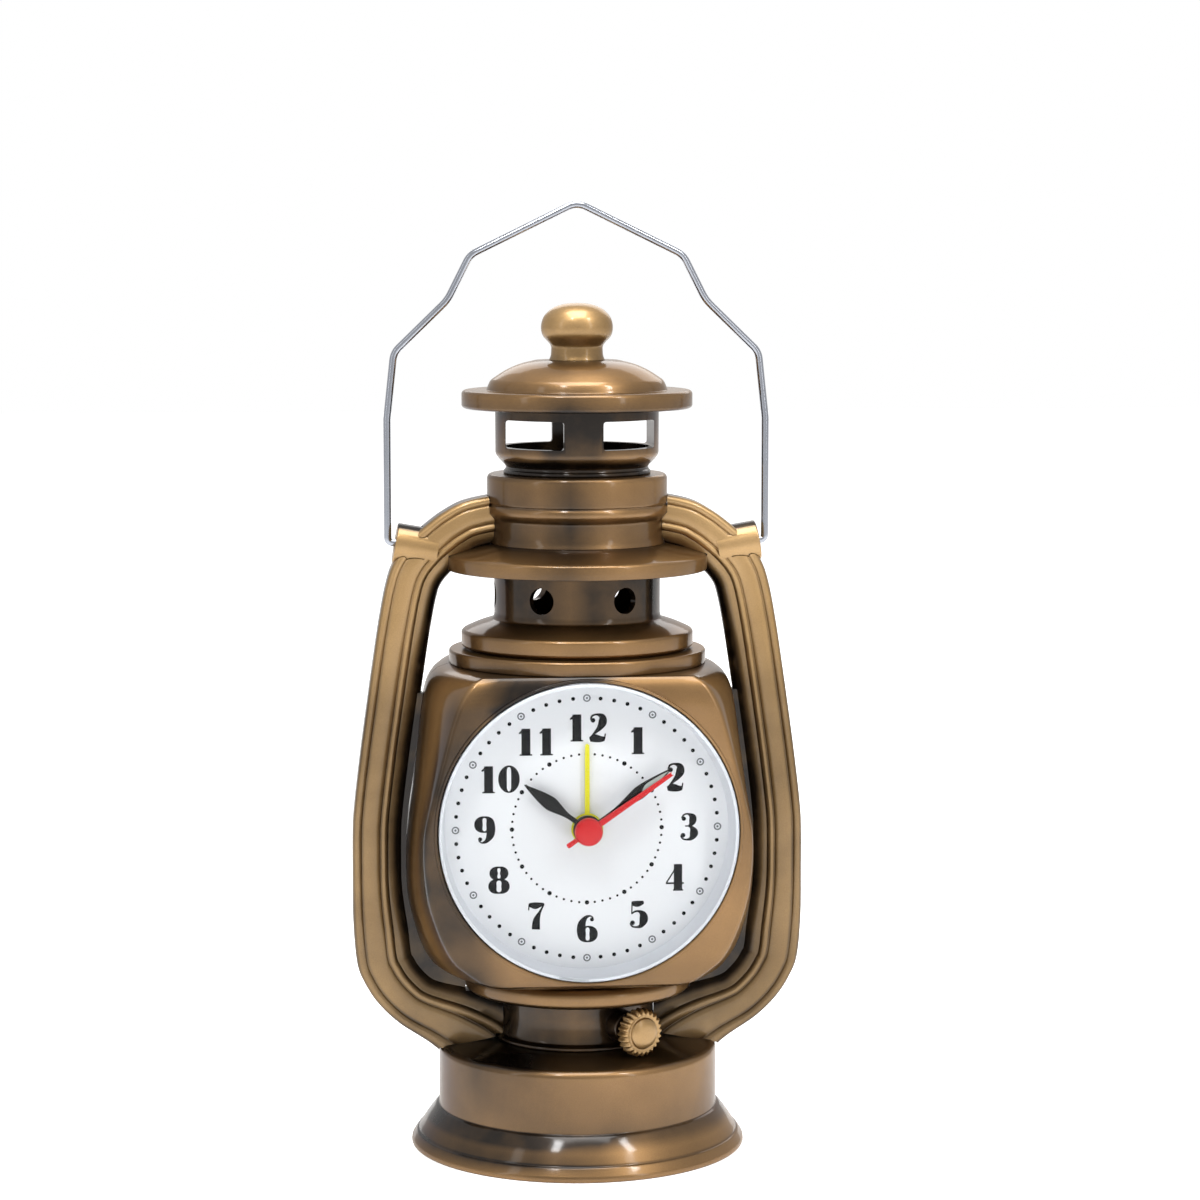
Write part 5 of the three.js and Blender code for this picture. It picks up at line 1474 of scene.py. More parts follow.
@dataclass(frozen=True)
class TubeSizes:
    """A side tube: its outline from the foot up, its section, and its web as (height, inner, outer)."""

    path_steps: int = 7
    path_reach: int = 5
    outline: tuple[Point2, ...] = (
        (19.8, 10.3), (27.2, 18.0), (32.6, 22.9), (39.4, 27.5), (44.0, 32.0), (46.9, 36.5), (48.6, 41.1),
        (49.35, 50), (49.4, 60), (49.35, 70), (48.95, 76), (47.6, 87.2), (46.05, 98.3), (44.1, 111.5),
        (42.95, 118.4), (41.9, 123.6), (40.6, 127.9), (38.4, 131.7), (35.2, 135.3), (31.9, 138.1),
        (29.2, 140.0), (25.2, 142.1), (19.6, 143.4), (15.5, 143.8),
    )
    front: Outline = (
        (0, 0), (2.9, 0, 0.7), (3.65, 0.35, 0.5), (4.0, 1.1, 0.6), (3.75, 1.8, 0.3), (3.5, 2.05, 0.25),
        (3.75, 2.4, 0.3), (3.95, 3.2, 0.6), (4.05, 4.3, 0.8), (3.95, 5.3, 0.5), (3.75, 5.85, 0.3),
        (3.5, 6.1, 0.25), (3.75, 6.35, 0.25), (3.98, 6.9, 0.4), (3.65, 7.5, 0.3), (3.2, 7.8, 0.4),
    )
    inner: tuple[Point2, ...] = ((3.1, 8.7), (2.7, 9.8), (2.0, 10.6), (1.0, 11.2), (0, 11.4))
    swell: float = 0.13
    swell_heights: Point2 = (61.1, 45.3)
    flare: float = 0.65
    flare_heights: Point2 = (28.4, 16.2)
    web: tuple[tuple[float, float, float], ...] = (
        (26.5, 14.0, 25.5), (27.5, 14.0, 28.0), (33.0, 14.0, 36.0), (38.6, 14.0, 40.5), (48.0, 14.0, 43.2),
        (60.0, 14.0, 44.0), (74.9, 19.0, 43.8), (88.0, 25.5, 42.5), (96.0, 30.0, 40.9), (100.5, 34.0, 40.0),
    )
    web_depth: float = 1.98
    ear: float = 4.4
    ear_edge: float = 0.45
    ear_root: float = 31.0
    ear_face: float = 39.7
    ear_height: float = 133.2
    ear_sides: int = 64
    ear_seam: float = 0.2
    ear_seam_root: float = 33.6
    ear_seam_past: float = 2
    tilt: float = math.radians(10)
    bore: float = 1.1
    bore_mouth: Point3 = (0.5, 0.1, 0.3)
    bore_start: float = 0.8
    bore_depth: float = 3.2
    clear_top: Outline = (
        (0, 127.2), (28.37, 127.2), (28.37, 130.5), (22.5, 132.2), (19.2, 133.0), (18.62, 134.4),
        (18.62, 138.3), (19.72, 139.8), (19.72, 154), (0, 154),
    )
    clear_low: Outline = (
        (0, 0), (36.9, 0), (30.9, 8), (30.9, 22), (19.0, 24.3), (18.8, 24.3), (18.8, 25.1), (16.9, 25.1),
        (16.9, 34.4), (24.9, 34.4), (24.9, 39.1), (0, 39.1),
    )
    globe_inset: float = 0.05
    globe_heights: Point2 = (38.8, 107.2)


class SideTubes(SubAssembly):
    """The two grooved tubes beside the globe, with the ears for the wire."""

    # Painted shade on the tubes: darker low down, on their flanks and a little in their grooves.
    SHADE = Shade(0.03, marks=(Patch(0.45, ((Way.UP, 124, 92),)), Patch(0.1, ((Way.UP, 40, 26),))))
    GROOVE = Patch(0.22, ((Way.DEEP, 3.85, 3.55),))
    FLANK = 3.3
    FLANK_EDGE = 0.9
    EAR_MIDDLE = 132.5
    EAR_REACH = 4.7
    EAR_START = 34.2

    def section(self, sizes: TubeSizes) -> list[Point2]:
        """Returns the closed section as (depth, distance inwards) points."""
        right = [*softened(sizes.front), *sizes.inner]
        left = [(-depth, inward) for depth, inward in reversed(right[1:-1])]
        return [*right[:-1], (0, right[-1][1]), *left]

    def build(self, sizes: TubeSizes) -> None:
        """Makes both tubes, each with its ear, cut clear of the chimney and the tank.

        Args:
            sizes: The tubes' sizes.
        """
        def growth(height: float) -> float:
            return (1 + sizes.swell * fade(height, *sizes.swell_heights)
                    + sizes.flare * fade(height, *sizes.flare_heights))

        path = smooth_path(sizes.outline, sizes.path_steps)
        tube = swept(path, self.section(sizes), growth, sizes.path_reach)
        deep = sizes.web_depth
        web = lofted([[(inner, -deep, height), (outer, -deep, height), (outer, deep, height),
                       (inner, deep, height)] for height, inner, outer in sizes.web])
        slant = math.cos(sizes.tilt)
        face = sizes.ear_face / slant
        matrix = (Matrix.Translation((0, 0, sizes.ear_height - sizes.ear_face * math.tan(sizes.tilt)))
                  @ Matrix.Rotation(QUARTER_TURN - sizes.tilt, 4, "Y"))
        wider, lower, rounding = sizes.bore_mouth
        ear = turned(softened([
            (0, sizes.ear_root), (sizes.ear, sizes.ear_root), (sizes.ear, face, sizes.ear_edge),
            (sizes.bore + wider, face - lower, rounding), (sizes.bore, face - sizes.bore_start),
            (sizes.bore, face - sizes.bore_depth), (0, face - sizes.bore_depth)]), sizes.ear_sides)
        seam = rod(sizes.ear + sizes.ear_seam, sizes.ear_seam_root, face + sizes.ear_seam_past, Axis.VERTICAL,
                   sides=sizes.ear_sides)
        globe = Globe(self.shelf).barrel(GlobeSizes(), sizes.globe_inset, *sizes.globe_heights)
        right = carved(tube, [
            ("UNION", web), *cuts(seam.moved(matrix)), ("UNION", ear.moved(matrix)),
            *cuts(turned(sizes.clear_top), turned(sizes.clear_low), globe),
        ], "right_tube")
        left = right.copy()
        left.name = "left_tube"
        left.transform(Matrix.Scale(-1, 4, (1, 0, 0)))
        outward(left)
        for name, mesh, node in (("right_tube", right, "right_arm"), ("left_tube", left, "left_arm")):
            self.put(name, mesh, "gold_lacquer", Slot.GOLD, LANTERN, (node,), self.smoke, sharp=40.0)

    def smoke(self, point: Vector) -> float:
        """Paints shade on a tube.

        Args:
            point: A point of it in millimetres.

        Returns:
            Painted shade: much on its flanks, a little in its grooves and low down, and none on its ear.
        """
        flank = max(0.0, min(1.0, (self.FLANK - abs(point.y)) / self.FLANK_EDGE))
        beside_ear = math.hypot(point.y, point.z - self.EAR_MIDDLE)
        on_ear = beside_ear < self.EAR_REACH and abs(point.x) > self.EAR_START
        total = self.SHADE(point) + max(flank, self.GROOVE.at(point)) - (1.0 if on_ear else 0.0)
        return max(0.0, min(1.0, total))


@dataclass(frozen=True)
class WireSizes:
    """The carrying wire's corners, from one ear to the top, in millimetres."""

    corners: Outline = (
        (37.4, 133.2), (41.2, 133.2, 1.2), (41.2, 160), (39.65, 174.3, 1.6), (28.0, 185.6, 1.6),
        (23.1, 195.3, 1.6), (0, 206.6, 2.4),
    )
    radius: float = 0.8
    sides: int = 16


class CarryingWire(SubAssembly):
    """The bent chromed wire in the two ears."""

    def build(self, sizes: WireSizes) -> None:
        """Makes the wire as one swept rod.

        Args:
            sizes: The wire's sizes.
        """
        left = [(-corner[0], *corner[1:]) for corner in reversed(sizes.corners[:-1])]
        path = softened([*sizes.corners, *left], steps=FINE_STEPS)
        wire = swept(path, round_outline(sizes.radius, sizes.sides))
        self.put("wire_rod", wire, "wire_chrome", Slot.WIRE, "carrying_wire", ("bail",), sharp=60.0)


# Clock face


@dataclass(frozen=True)
class DialSizes:
    """The dial, its prints, ring and lens, in millimetres."""

    axis: float = 74.0
    face: float = -24.0
    back: float = -23.0
    radius: float = 31.6
    hole: float = 3.3
    print_back: float = -23.99
    print_front: float = -24.03
    numeral_radius: float = 21.7
    numeral_height: float = 5.85
    numeral_stretch: float = 1.14
    numeral_pitch: float = 0.66
    numeral_weight: float = 0.55
    numeral_boldness: float = 1.15
    thick_stroke: float = 0.08
    digit_width: float = 0.6
    layer_step: float = 0.002
    stroke_steps: int = 7
    loop_thin: float = 0.022
    loop_swell: float = 0.07
    loop_power: float = 1.6
    loop_steps: int = 56
    ball_sides: int = 24
    ring: Outline = (
        (31.1, -30.7, 0.15), (31.8, -30.7, 0.1), (31.8, -24), (30.3, -24, 0.1), (30.45, -24.6, 0.5),
        (31.0, -29.8, 0.8),
    )
    lens: Outline = (
        (0, -31.75), (24, -31.75, 4.0), (31.3, -31.55, 0.2), (31.8, -31.1, 0.2), (31.8, -30.7), (0, -30.7),
    )


@dataclass(frozen=True)
class Digit:
    """A numeral as strokes of (across, up, half width), closed loops and balls, one unit high."""

    strokes: tuple[Stroke, ...] = ()
    loops: tuple[tuple[float, float, float, float], ...] = ()
    balls: tuple[tuple[float, float, float], ...] = ()
    half_turn: bool = False


SIX = Digit(
    strokes=(((0.50, 0.90, 0.018), (0.40, 0.97, 0.024), (0.25, 0.9, 0.05), (0.13, 0.66, 0.085),
              (0.115, 0.34, 0.09), (0.17, 0.12, 0.05)),),
    loops=((0.32, 0.3, 0.19, 0.275),), balls=((0.46, 0.84, 0.075),))
DIGITS: dict[str, Digit] = {
    "0": Digit(loops=((0.3, 0.5, 0.205, 0.475),)),
    "1": Digit(strokes=(((0.31, 0.01, 0.095), (0.31, 0.5, 0.095), (0.31, 0.98, 0.095)),
                        ((0.11, 0.02, 0.02), (0.31, 0.02, 0.022), (0.51, 0.02, 0.02)),
                        ((0.09, 0.8, 0.02), (0.18, 0.87, 0.035), (0.28, 0.93, 0.05)))),
    "2": Digit(strokes=(((0.085, 0.78, 0.018), (0.14, 0.92, 0.028), (0.29, 0.972, 0.028), (0.45, 0.89, 0.07),
                         (0.475, 0.7, 0.09), (0.38, 0.49, 0.065), (0.2, 0.27, 0.032), (0.07, 0.09, 0.024)),
                        ((0.06, 0.06, 0.055), (0.22, 0.1, 0.085), (0.4, 0.07, 0.07), (0.54, 0.08, 0.05)),
                        ((0.53, 0.06, 0.022), (0.56, 0.27, 0.018))),
               balls=((0.165, 0.76, 0.085),)),
    "3": Digit(strokes=(((0.085, 0.83, 0.018), (0.17, 0.95, 0.024), (0.3, 0.972, 0.028), (0.44, 0.85, 0.078),
                         (0.42, 0.65, 0.07), (0.32, 0.54, 0.026), (0.2, 0.53, 0.018)),
                        ((0.28, 0.53, 0.018), (0.4, 0.48, 0.045), (0.485, 0.28, 0.092), (0.4, 0.08, 0.055),
                         (0.26, 0.026, 0.026), (0.13, 0.06, 0.024), (0.055, 0.18, 0.018))),
               balls=((0.16, 0.8, 0.08), (0.135, 0.19, 0.085))),
    "4": Digit(strokes=(((0.41, 0.01, 0.09), (0.41, 0.5, 0.09), (0.41, 0.98, 0.09)),
                        ((0.4, 0.96, 0.022), (0.22, 0.62, 0.02), (0.035, 0.29, 0.02)),
                        ((0.02, 0.275, 0.024), (0.3, 0.275, 0.024), (0.6, 0.275, 0.024)),
                        ((0.25, 0.02, 0.02), (0.41, 0.02, 0.022), (0.58, 0.02, 0.02)))),
    "5": Digit(strokes=(((0.125, 0.97, 0.018), (0.12, 0.75, 0.018), (0.115, 0.51, 0.018)),
                        ((0.12, 0.92, 0.05), (0.3, 0.89, 0.07), (0.5, 0.95, 0.04)),
                        ((0.12, 0.53, 0.018), (0.21, 0.6, 0.026), (0.34, 0.615, 0.032), (0.47, 0.5, 0.075),
                         (0.5, 0.3, 0.092), (0.41, 0.08, 0.055), (0.27, 0.026, 0.026), (0.13, 0.06, 0.024),
                         (0.06, 0.18, 0.018))),
               balls=((0.14, 0.19, 0.085),)),
    "6": SIX,
    "7": Digit(strokes=(((0.07, 0.93, 0.045), (0.26, 0.89, 0.075), (0.42, 0.92, 0.055), (0.55, 0.94, 0.035)),
                        ((0.075, 0.96, 0.02), (0.055, 0.72, 0.018)),
                        ((0.55, 0.94, 0.02), (0.42, 0.66, 0.035), (0.31, 0.36, 0.075), (0.285, 0.01, 0.09)))),
    "8": Digit(loops=((0.3, 0.75, 0.165, 0.222), (0.3, 0.27, 0.205, 0.245))),
    "9": Digit(SIX.strokes, SIX.loops, SIX.balls, half_turn=True),
}


def ribbon(places: Sequence[Sequence[float]], front: float, back: float, closed: bool) -> Shape:
    """Makes a flat stroke of changing width in the XZ plane.

    Args:
        places: Points as (x, z, half width).
        front: The stroke's front face along Y.
        back: Its back face along Y.
        closed: Whether the stroke meets its own start.

    Returns:
        The closed body.
    """
    count = len(places)
    sections = []
    for index, (x, z, half) in enumerate(places):
        before = places[index - 1] if closed or index else places[0]
        after = places[(index + 1) % count] if closed or index < count - 1 else places[-1]
        way = Vector((after[0] - before[0], after[1] - before[1])).normalized()
        side = Vector((-way.y, way.x)) * half
        sections.append([(x + side.x, front, z + side.y), (x + side.x, back, z + side.y),
                         (x - side.x, back, z - side.y), (x - side.x, front, z - side.y)])
    if not closed:
        return lofted(sections)
    shape = lofted([*sections, sections[0]])
    del shape.faces[-2:]
    return shape


def digit_shape(digit: Digit, scale: float, sizes: DialSizes, left: float, low: float) -> Shape:
    """Draws one numeral on the dial.

    Args:
        digit: The numeral.
        scale: Its height in millimetres.
        sizes: Where the print lies.
        left: Where its left side is.
        low: Where its foot is.

    Returns:
        Its strokes as closed bodies, each a hair prouder than the last.
    """
    shape = Shape()
    layer = 0

    def spot(x: float, z: float) -> Point2:
        if digit.half_turn:
            x, z = sizes.digit_width - x, 1 - z
        return left + x * scale * sizes.numeral_stretch, low + z * scale

    def put(points: Sequence[Sequence[float]], closed: bool) -> None:
        nonlocal layer
        layer += 1
        placed = []
        for x, z, half in points:
            weight = sizes.numeral_boldness + sizes.numeral_weight * min(1.0, half / sizes.thick_stroke)
            placed.append((*spot(x, z), half * scale * weight))
        shape.add(ribbon(placed, sizes.print_front - sizes.layer_step * layer, sizes.print_back, closed))

    for stroke in digit.strokes:
        put(smooth_path(stroke, sizes.stroke_steps), False)
    for x, z, wide, tall in digit.loops:
        loop = []
        for step in range(sizes.loop_steps):
            angle = FULL_TURN * step / sizes.loop_steps
            half = sizes.loop_thin + sizes.loop_swell * abs(math.cos(angle)) ** sizes.loop_power
            loop.append((x + wide * math.cos(angle), z + tall * math.sin(angle), half))
        put(loop, True)
    for x, z, radius in digit.balls:
        layer += 1
        ball = round_outline(radius * scale, sizes.ball_sides, spot(x, z))
        shape.add(prism(ball, sizes.print_front - sizes.layer_step * layer, sizes.print_back))
    return shape


class ClockFace(SubAssembly):
    """Dial, prints, surround and lens."""

    OUTER, INNER = 28.0, 16.0
    RING_SIDES, DOT_SIDES = 28, 20
    RINGS = (
        MarkRing("minute_dots", OUTER, 0.42, 0, False, "print_black"),
        MarkRing("hour_rings", OUTER, 0.82, 0.52, True, "print_grey"),
        MarkRing("hour_ring_centres", OUTER, 0.24, 0, True, "print_grey"),
        MarkRing("inner_dots", INNER, 0.26, 0, False, "print_black"),
        MarkRing("inner_hour_dots", INNER, 0.48, 0, True, "print_black"),
    )

    def on_dial(self, name: str, shape: Shape, finish: str,
                press: Press | None = None) -> None:
        """Puts the dial, or a print on it, in place of the dial's node.

        Args:
            name: The piece's name.
            shape: The shape in millimetres.
            finish: The finish's name on the shelf.
            press: What still shapes the piece before it is put on its body.
        """
        self.put(name, shape, finish, Slot.DIAL, LANTERN, ("dial_plate",), press=press)

    def build(self, sizes: DialSizes) -> None:
        """Makes the dial and all that is printed on it, then the ring and the lens over it.

        Args:
            sizes: The sizes of the clock's face.
        """
        card = softened([(sizes.hole, sizes.face), (sizes.radius, sizes.face, 0.1),
                         (sizes.radius, sizes.back), (sizes.hole, sizes.back)])
        self.on_dial("dial_card", turned(card, axis=Axis.CLOCK, height=sizes.axis), "dial_card")
        self.numerals(sizes)
        self.marks(sizes)
        surround = turned(softened(sizes.ring, closed=True), axis=Axis.CLOCK, height=sizes.axis)
        self.put("surround_ring", surround, "ring_satin", Slot.RING, LANTERN, ("dial_surround",))
        lens = turned(softened(sizes.lens, steps=FINE_STEPS), axis=Axis.CLOCK, height=sizes.axis)
        self.put("lens_disc", lens, "lens_clear", Slot.LENS, LANTERN, ("dial_lens",))

    def numerals(self, sizes: DialSizes) -> None:
        """Prints the hours, all upright.

        Args:
            sizes: The sizes of the clock's face.
        """
        for hour in range(1, 13):
            angle = FULL_TURN * hour / 12
            scale = sizes.numeral_height
            text = str(hour)
            pitch = sizes.numeral_pitch * scale * sizes.numeral_stretch
            width = pitch * (len(text) - 1) + sizes.digit_width * scale * sizes.numeral_stretch
            left = sizes.numeral_radius * math.sin(angle) - width / 2
            low = sizes.axis + sizes.numeral_radius * math.cos(angle) - scale / 2
            numeral = Shape()
            for index, sign in enumerate(text):
                numeral.add(digit_shape(DIGITS[sign], scale, sizes, left + index * pitch, low))
            self.on_dial(f"numeral_{hour}", numeral, "print_black")

    def marks(self, sizes: DialSizes) -> None:
        """Prints the dots and rings round the dial.

        Args:
            sizes: The sizes of the clock's face.
        """
        press = MarkPress()
        front, back = sizes.print_front, sizes.print_back
        for ring in self.RINGS:
            if ring.hollow:
                profile = [(ring.hollow, front), (ring.mark, front), (ring.mark, back), (ring.hollow, back)]
                mark = turned(profile, self.RING_SIDES, Axis.CLOCK)
            else:
                mark = rod(ring.mark, front, back, Axis.CLOCK, sides=self.DOT_SIDES)
            finish = self.shelf.get(ring.finish)
            self.on_dial(ring.name, mark, ring.finish,
                         lambda piece, ring=ring, finish=finish: press.run(piece, ring, sizes.axis, finish))


# Hands


@dataclass(frozen=True)
class HandSizes:
    """A hand: half its outline from the hub to the tip, its place along Y, its hub and its reading."""

    name: str
    node: str
    body: str
    slot: Slot
    finish: str
    half: tuple[Point2, ...]
    front: float
    back: float
    hub: float
    bore: float
    angle: float
    tail: tuple[Point2, ...] = ()
    cap: Outline = ()
    inlay: tuple[Point2, ...] = ()


class Hands(SubAssembly):
    """The four hands and the second hand's cap."""

    HANDS = (
        HandSizes("alarm_pointer", "alarm_hand", "alarm", Slot.YELLOW_HAND, "hand_yellow_satin",
                  ((0.52, 0), (0.5, 9), (0.46, 17.2), (0.25, 18.1), (0, 18.3)), -25.0, -24.5, 3.4, 3.0, 0.0),
        HandSizes("hour_pointer", "hour_hand", "hour", Slot.BLACK_HAND, "hand_black_satin",
                  ((0.62, 0), (0.5, 4.2), (0.66, 6.0), (1.3, 8.6), (1.5, 9.9), (1.2, 12.2), (0.5, 15.2),
                   (0, 16.8)), -26.2, -25.7, 3.1, 2.15, math.radians(306.2)),
        HandSizes("minute_pointer", "minute_hand", "minute", Slot.BLACK_HAND, "hand_black_satin",
                  ((0.6, 0), (0.5, 6.0), (0.62, 8.4), (1.2, 12.0), (1.4, 13.6), (1.15, 16.4), (0.45, 20.4),
                   (0, 22.2)), -27.4, -26.9, 3.1, 1.4, math.radians(53.5),
                  inlay=((0, 14.2), (0.62, 15.4), (0.66, 16.4), (0.3, 19.6), (0, 21.2))),
        HandSizes("second_pointer", "second_hand", "second", Slot.RED_HAND, "hand_red_satin",
                  ((0.62, 0), (0.55, 10), (0.42, 20.6), (0.2, 21.3), (0, 21.4)), -28.6, -28.1, 3.0, 0.6,
                  math.radians(55.5), tail=((0, -5.5), (0.42, -5.4), (0.5, -4.9), (0.45, -2.5)),
                  cap=((0, -30.0), (1.6, -30.0, 1.2), (2.75, -29.6, 0.8), (3.0, -28.9, 0.5), (3.0, -28.3),
                       (0, -28.3))),
    )
    BLADE_STEPS = 5
    HUB_SIDES = 64
    HUB_EDGE = 0.12
    BORE_SIDES = 48
    BORE_PAST = 3
    BLADE_INSET = 0.02
    INLAY_DEPTH = 0.1

    def build(self, axis: float) -> None:
        """Makes the hands.

        Args:
            axis: The clock axis's height in millimetres.
        """
        for hand in self.HANDS:
            half = smooth_path([*hand.tail, *hand.half], self.BLADE_STEPS)
            matrix = Matrix.Translation((0, 0, axis)) @ Matrix.Rotation(hand.angle, 4, "Y")
            blade = prism(mirrored(half), hand.front + self.BLADE_INSET, hand.back - self.BLADE_INSET)
            hub = turned(softened([(0, hand.front), (hand.hub, hand.front, self.HUB_EDGE),
                                   (hand.hub, hand.back, self.HUB_EDGE), (0, hand.back)]),
                         self.HUB_SIDES, Axis.CLOCK)
            if hand.cap:
                last = [("UNION", turned(softened(hand.cap, steps=FINE_STEPS), self.HUB_SIDES, Axis.CLOCK))]
            else:
                front, back = hand.front - self.BORE_PAST, hand.back + self.BORE_PAST
                last = cuts(rod(hand.bore, front, back, Axis.CLOCK, sides=self.BORE_SIDES))
            mesh = carved(hub, [("UNION", blade), *last], hand.name)
            mesh.transform(scaled(matrix))
            self.put(hand.name, mesh, hand.finish, hand.slot, hand.body, (hand.node,))
            if hand.inlay:
                inlay = prism(mirrored(hand.inlay), hand.front - self.BLADE_INSET,
                              hand.front + self.INLAY_DEPTH)
                self.put("minute_tip", inlay.moved(matrix), "tip_pale", hand.slot, hand.body, (hand.node,))


# Back


@dataclass(frozen=True)
class BackSizes:
    """The rear cover and all that is worked from behind, in millimetres."""

    axis: float = 74.0
    cover: Outline = (
        (0, 27.5), (29.2, 27.5), (29.2, 29.0, 0.5), (28.5, 29.9, 0.8), (27.4, 29.6, 0.5), (26.9, 29.2, 0.3),
        (0, 29.2),
    )
    cut: Point2 = (20.0, 40.0)
    switch_slot: tuple[Point2, Point2] = ((-3.3, 90.5), (3.3, 92.5))
    door: Point2 = (23.2, 5.4)
    door_height: float = 66.0
    door_depth: Point2 = (27.8, 29.2)
    door_gap: float = 0.3
    groove: Point2 = (2.0, 2.6)
    groove_edge: float = 3.7
    groove_depth: Point2 = (29.0, 30.0)
    setters: tuple[Point2, Point2] = ((-15.411, 79.609), (11.464, 78.173))
    stem_hole: float = 1.7
    sounds: int = 6
    sound: float = 0.8
    sound_ring: float = 3.0
    sound_height: float = 52.5
    screws: tuple[Point2, ...] = ((0, 100.5), (15.2, 52.3), (-15.2, 52.3))
    screw_well: float = 2.2
    stem_room: tuple[Point3, Point3] = ((-40, -40, 40), (40, 30.85, 110))
    ribs: int = 7
    rib: float = 0.45
    rib_edge: float = 2
    rib_pitch: float = 1.6
    rib_length: float = 3.2
    rib_depth: Point2 = (29.0, 29.7)
    pad: tuple[Point3, Point3] = ((-3.9, 30.3, 90.1), (-0.1, 31.0, 92.9))
    ridge: tuple[Point3, Point3] = ((-3.75, 30.9, 90.4), (-3.4, 31.5, 92.6))
    ridges: int = 5
    ridge_pitch: float = 0.78


class Back(SubAssembly):
    """Rear cover, battery door, set knobs and the switch's knob."""

    SETTER = KnobSizes(
        profile=((0, 30.8), (4.8, 30.8, 0.3), (5.2, 31.2, 0.2), (5.2, 34.4, 0.3), (4.7, 34.95, 0.5),
                 (3.5, 35.0, 0.2), (3.1, 34.6, 0.2), (0, 34.6)),
        flutes=16, flute_depth=0.4, rim_radius=5.2)
    HOLE_SIDES, SOUND_SIDES = 32, 24

    def build(self, sizes: BackSizes) -> None:
        """Makes the cover with its openings, the door with its grip, and the knobs.

        Args:
            sizes: The back's sizes.
        """
        self.cover(sizes)
        self.door(sizes)
        self.knobs(sizes)

    def cover(self, sizes: BackSizes) -> None:
        """Makes the cover with the openings for the door, the switch, the stems, the sound and the screws.

        Args:
            sizes: The back's sizes.
        """
        front, rear = sizes.cut
        wide, tall = (value + sizes.door_gap for value in sizes.door)
        low, high = sizes.switch_slot
        shapes = [box((-wide, front, sizes.door_height - tall), (wide, rear, sizes.door_height + tall)),
                  box((low[0], front, low[1]), (high[0], rear, high[1]))]
        turns = [FULL_TURN * index / sizes.sounds for index in range(sizes.sounds)]
        sounds = [(sizes.sound_ring * math.cos(turn), sizes.sound_height + sizes.sound_ring * math.sin(turn))
                  for turn in turns]
        for spots, radius, sides in ((sizes.setters, sizes.stem_hole, self.HOLE_SIDES),
                                     (sounds, sizes.sound, self.SOUND_SIDES),
                                     (sizes.screws, sizes.screw_well, self.HOLE_SIDES)):
            shapes += [prism(round_outline(radius, sides, spot), front, rear) for spot in spots]
        plate = turned(softened(sizes.cover), axis=Axis.CLOCK, height=sizes.axis)
        self.black("back_cover", carved(plate, cuts(*shapes), "back_cover"), LANTERN, ("rear_cover",))

    def door(self, sizes: BackSizes) -> None:
        """Makes the battery door with its grooves and its row of grip ribs.

        Args:
            sizes: The back's sizes.
        """
        wide, tall = sizes.door
        low, high = sizes.door_height - tall, sizes.door_height + tall
        front, rear = sizes.door_depth
        panel = box((-wide, front, low), (wide, rear, high))
        (start, stop), (deep, clear) = sizes.groove, sizes.groove_depth
        foot, top = low + sizes.groove_edge, high - sizes.groove_edge
        grooves = cuts(*(box((-wide + start + sizes.rib_pitch * step, deep, foot),
                             (-wide + stop + sizes.rib_pitch * step, clear, top))
                         for step in range(sizes.ribs)))
        self.black("door_panel", carved(panel, grooves, "door_panel"), "door", ("battery_door",))
        left = wide - sizes.rib_edge - sizes.rib_pitch * (sizes.ribs - 1)
        rib = box((left, sizes.rib_depth[0], sizes.door_height - sizes.rib_length),
                  (left + sizes.rib, sizes.rib_depth[1], sizes.door_height + sizes.rib_length))
        repeater, finish = Repeater(), self.shelf.get("black_moulding")
        self.black("door_grip_ribs", rib, "door", ("battery_door",),
                   lambda piece: repeater.run(piece, sizes.ribs, sizes.rib_pitch, finish))

    def knobs(self, sizes: BackSizes) -> None:
        """Makes the two set knobs on their stems, and the switch's knob with its ridges.

        Args:
            sizes: The back's sizes.
        """
        flutes, repeater, finish = Flutes(), Repeater(), self.shelf.get("black_moulding")
        names = (("time_setter", "time_set", "time_set_knob"),
                 ("alarm_setter", "alarm_set", "alarm_set_knob"))
        for (x, z), (name, body, node) in zip(sizes.setters, names):
            cap = turned(softened(self.SETTER.profile), self.SETTER.sides, Axis.CLOCK)
            self.black(name, cap.moved(Matrix.Translation((x, 0, z))), body, (node,),
                       lambda piece, x=x, z=z: flutes.cut(piece, self.SETTER, (x, 0, z), (0, 1, 0), finish))
            room = ("INTERSECT", box(*sizes.stem_room))
            stem = carved(shape_of(frame["nodes"][node].data), [room], name + "_stem")
            self.put(name + "_stem", stem, "nylon_moulding", Slot.NYLON, body, (node,))
        self.black("switch_pad", box(*sizes.pad), "switch")
        self.black("switch_ridges", box(*sizes.ridge), "switch",
                   press=lambda piece: repeater.run(piece, sizes.ridges, sizes.ridge_pitch, finish))


# Solids that keep their shape


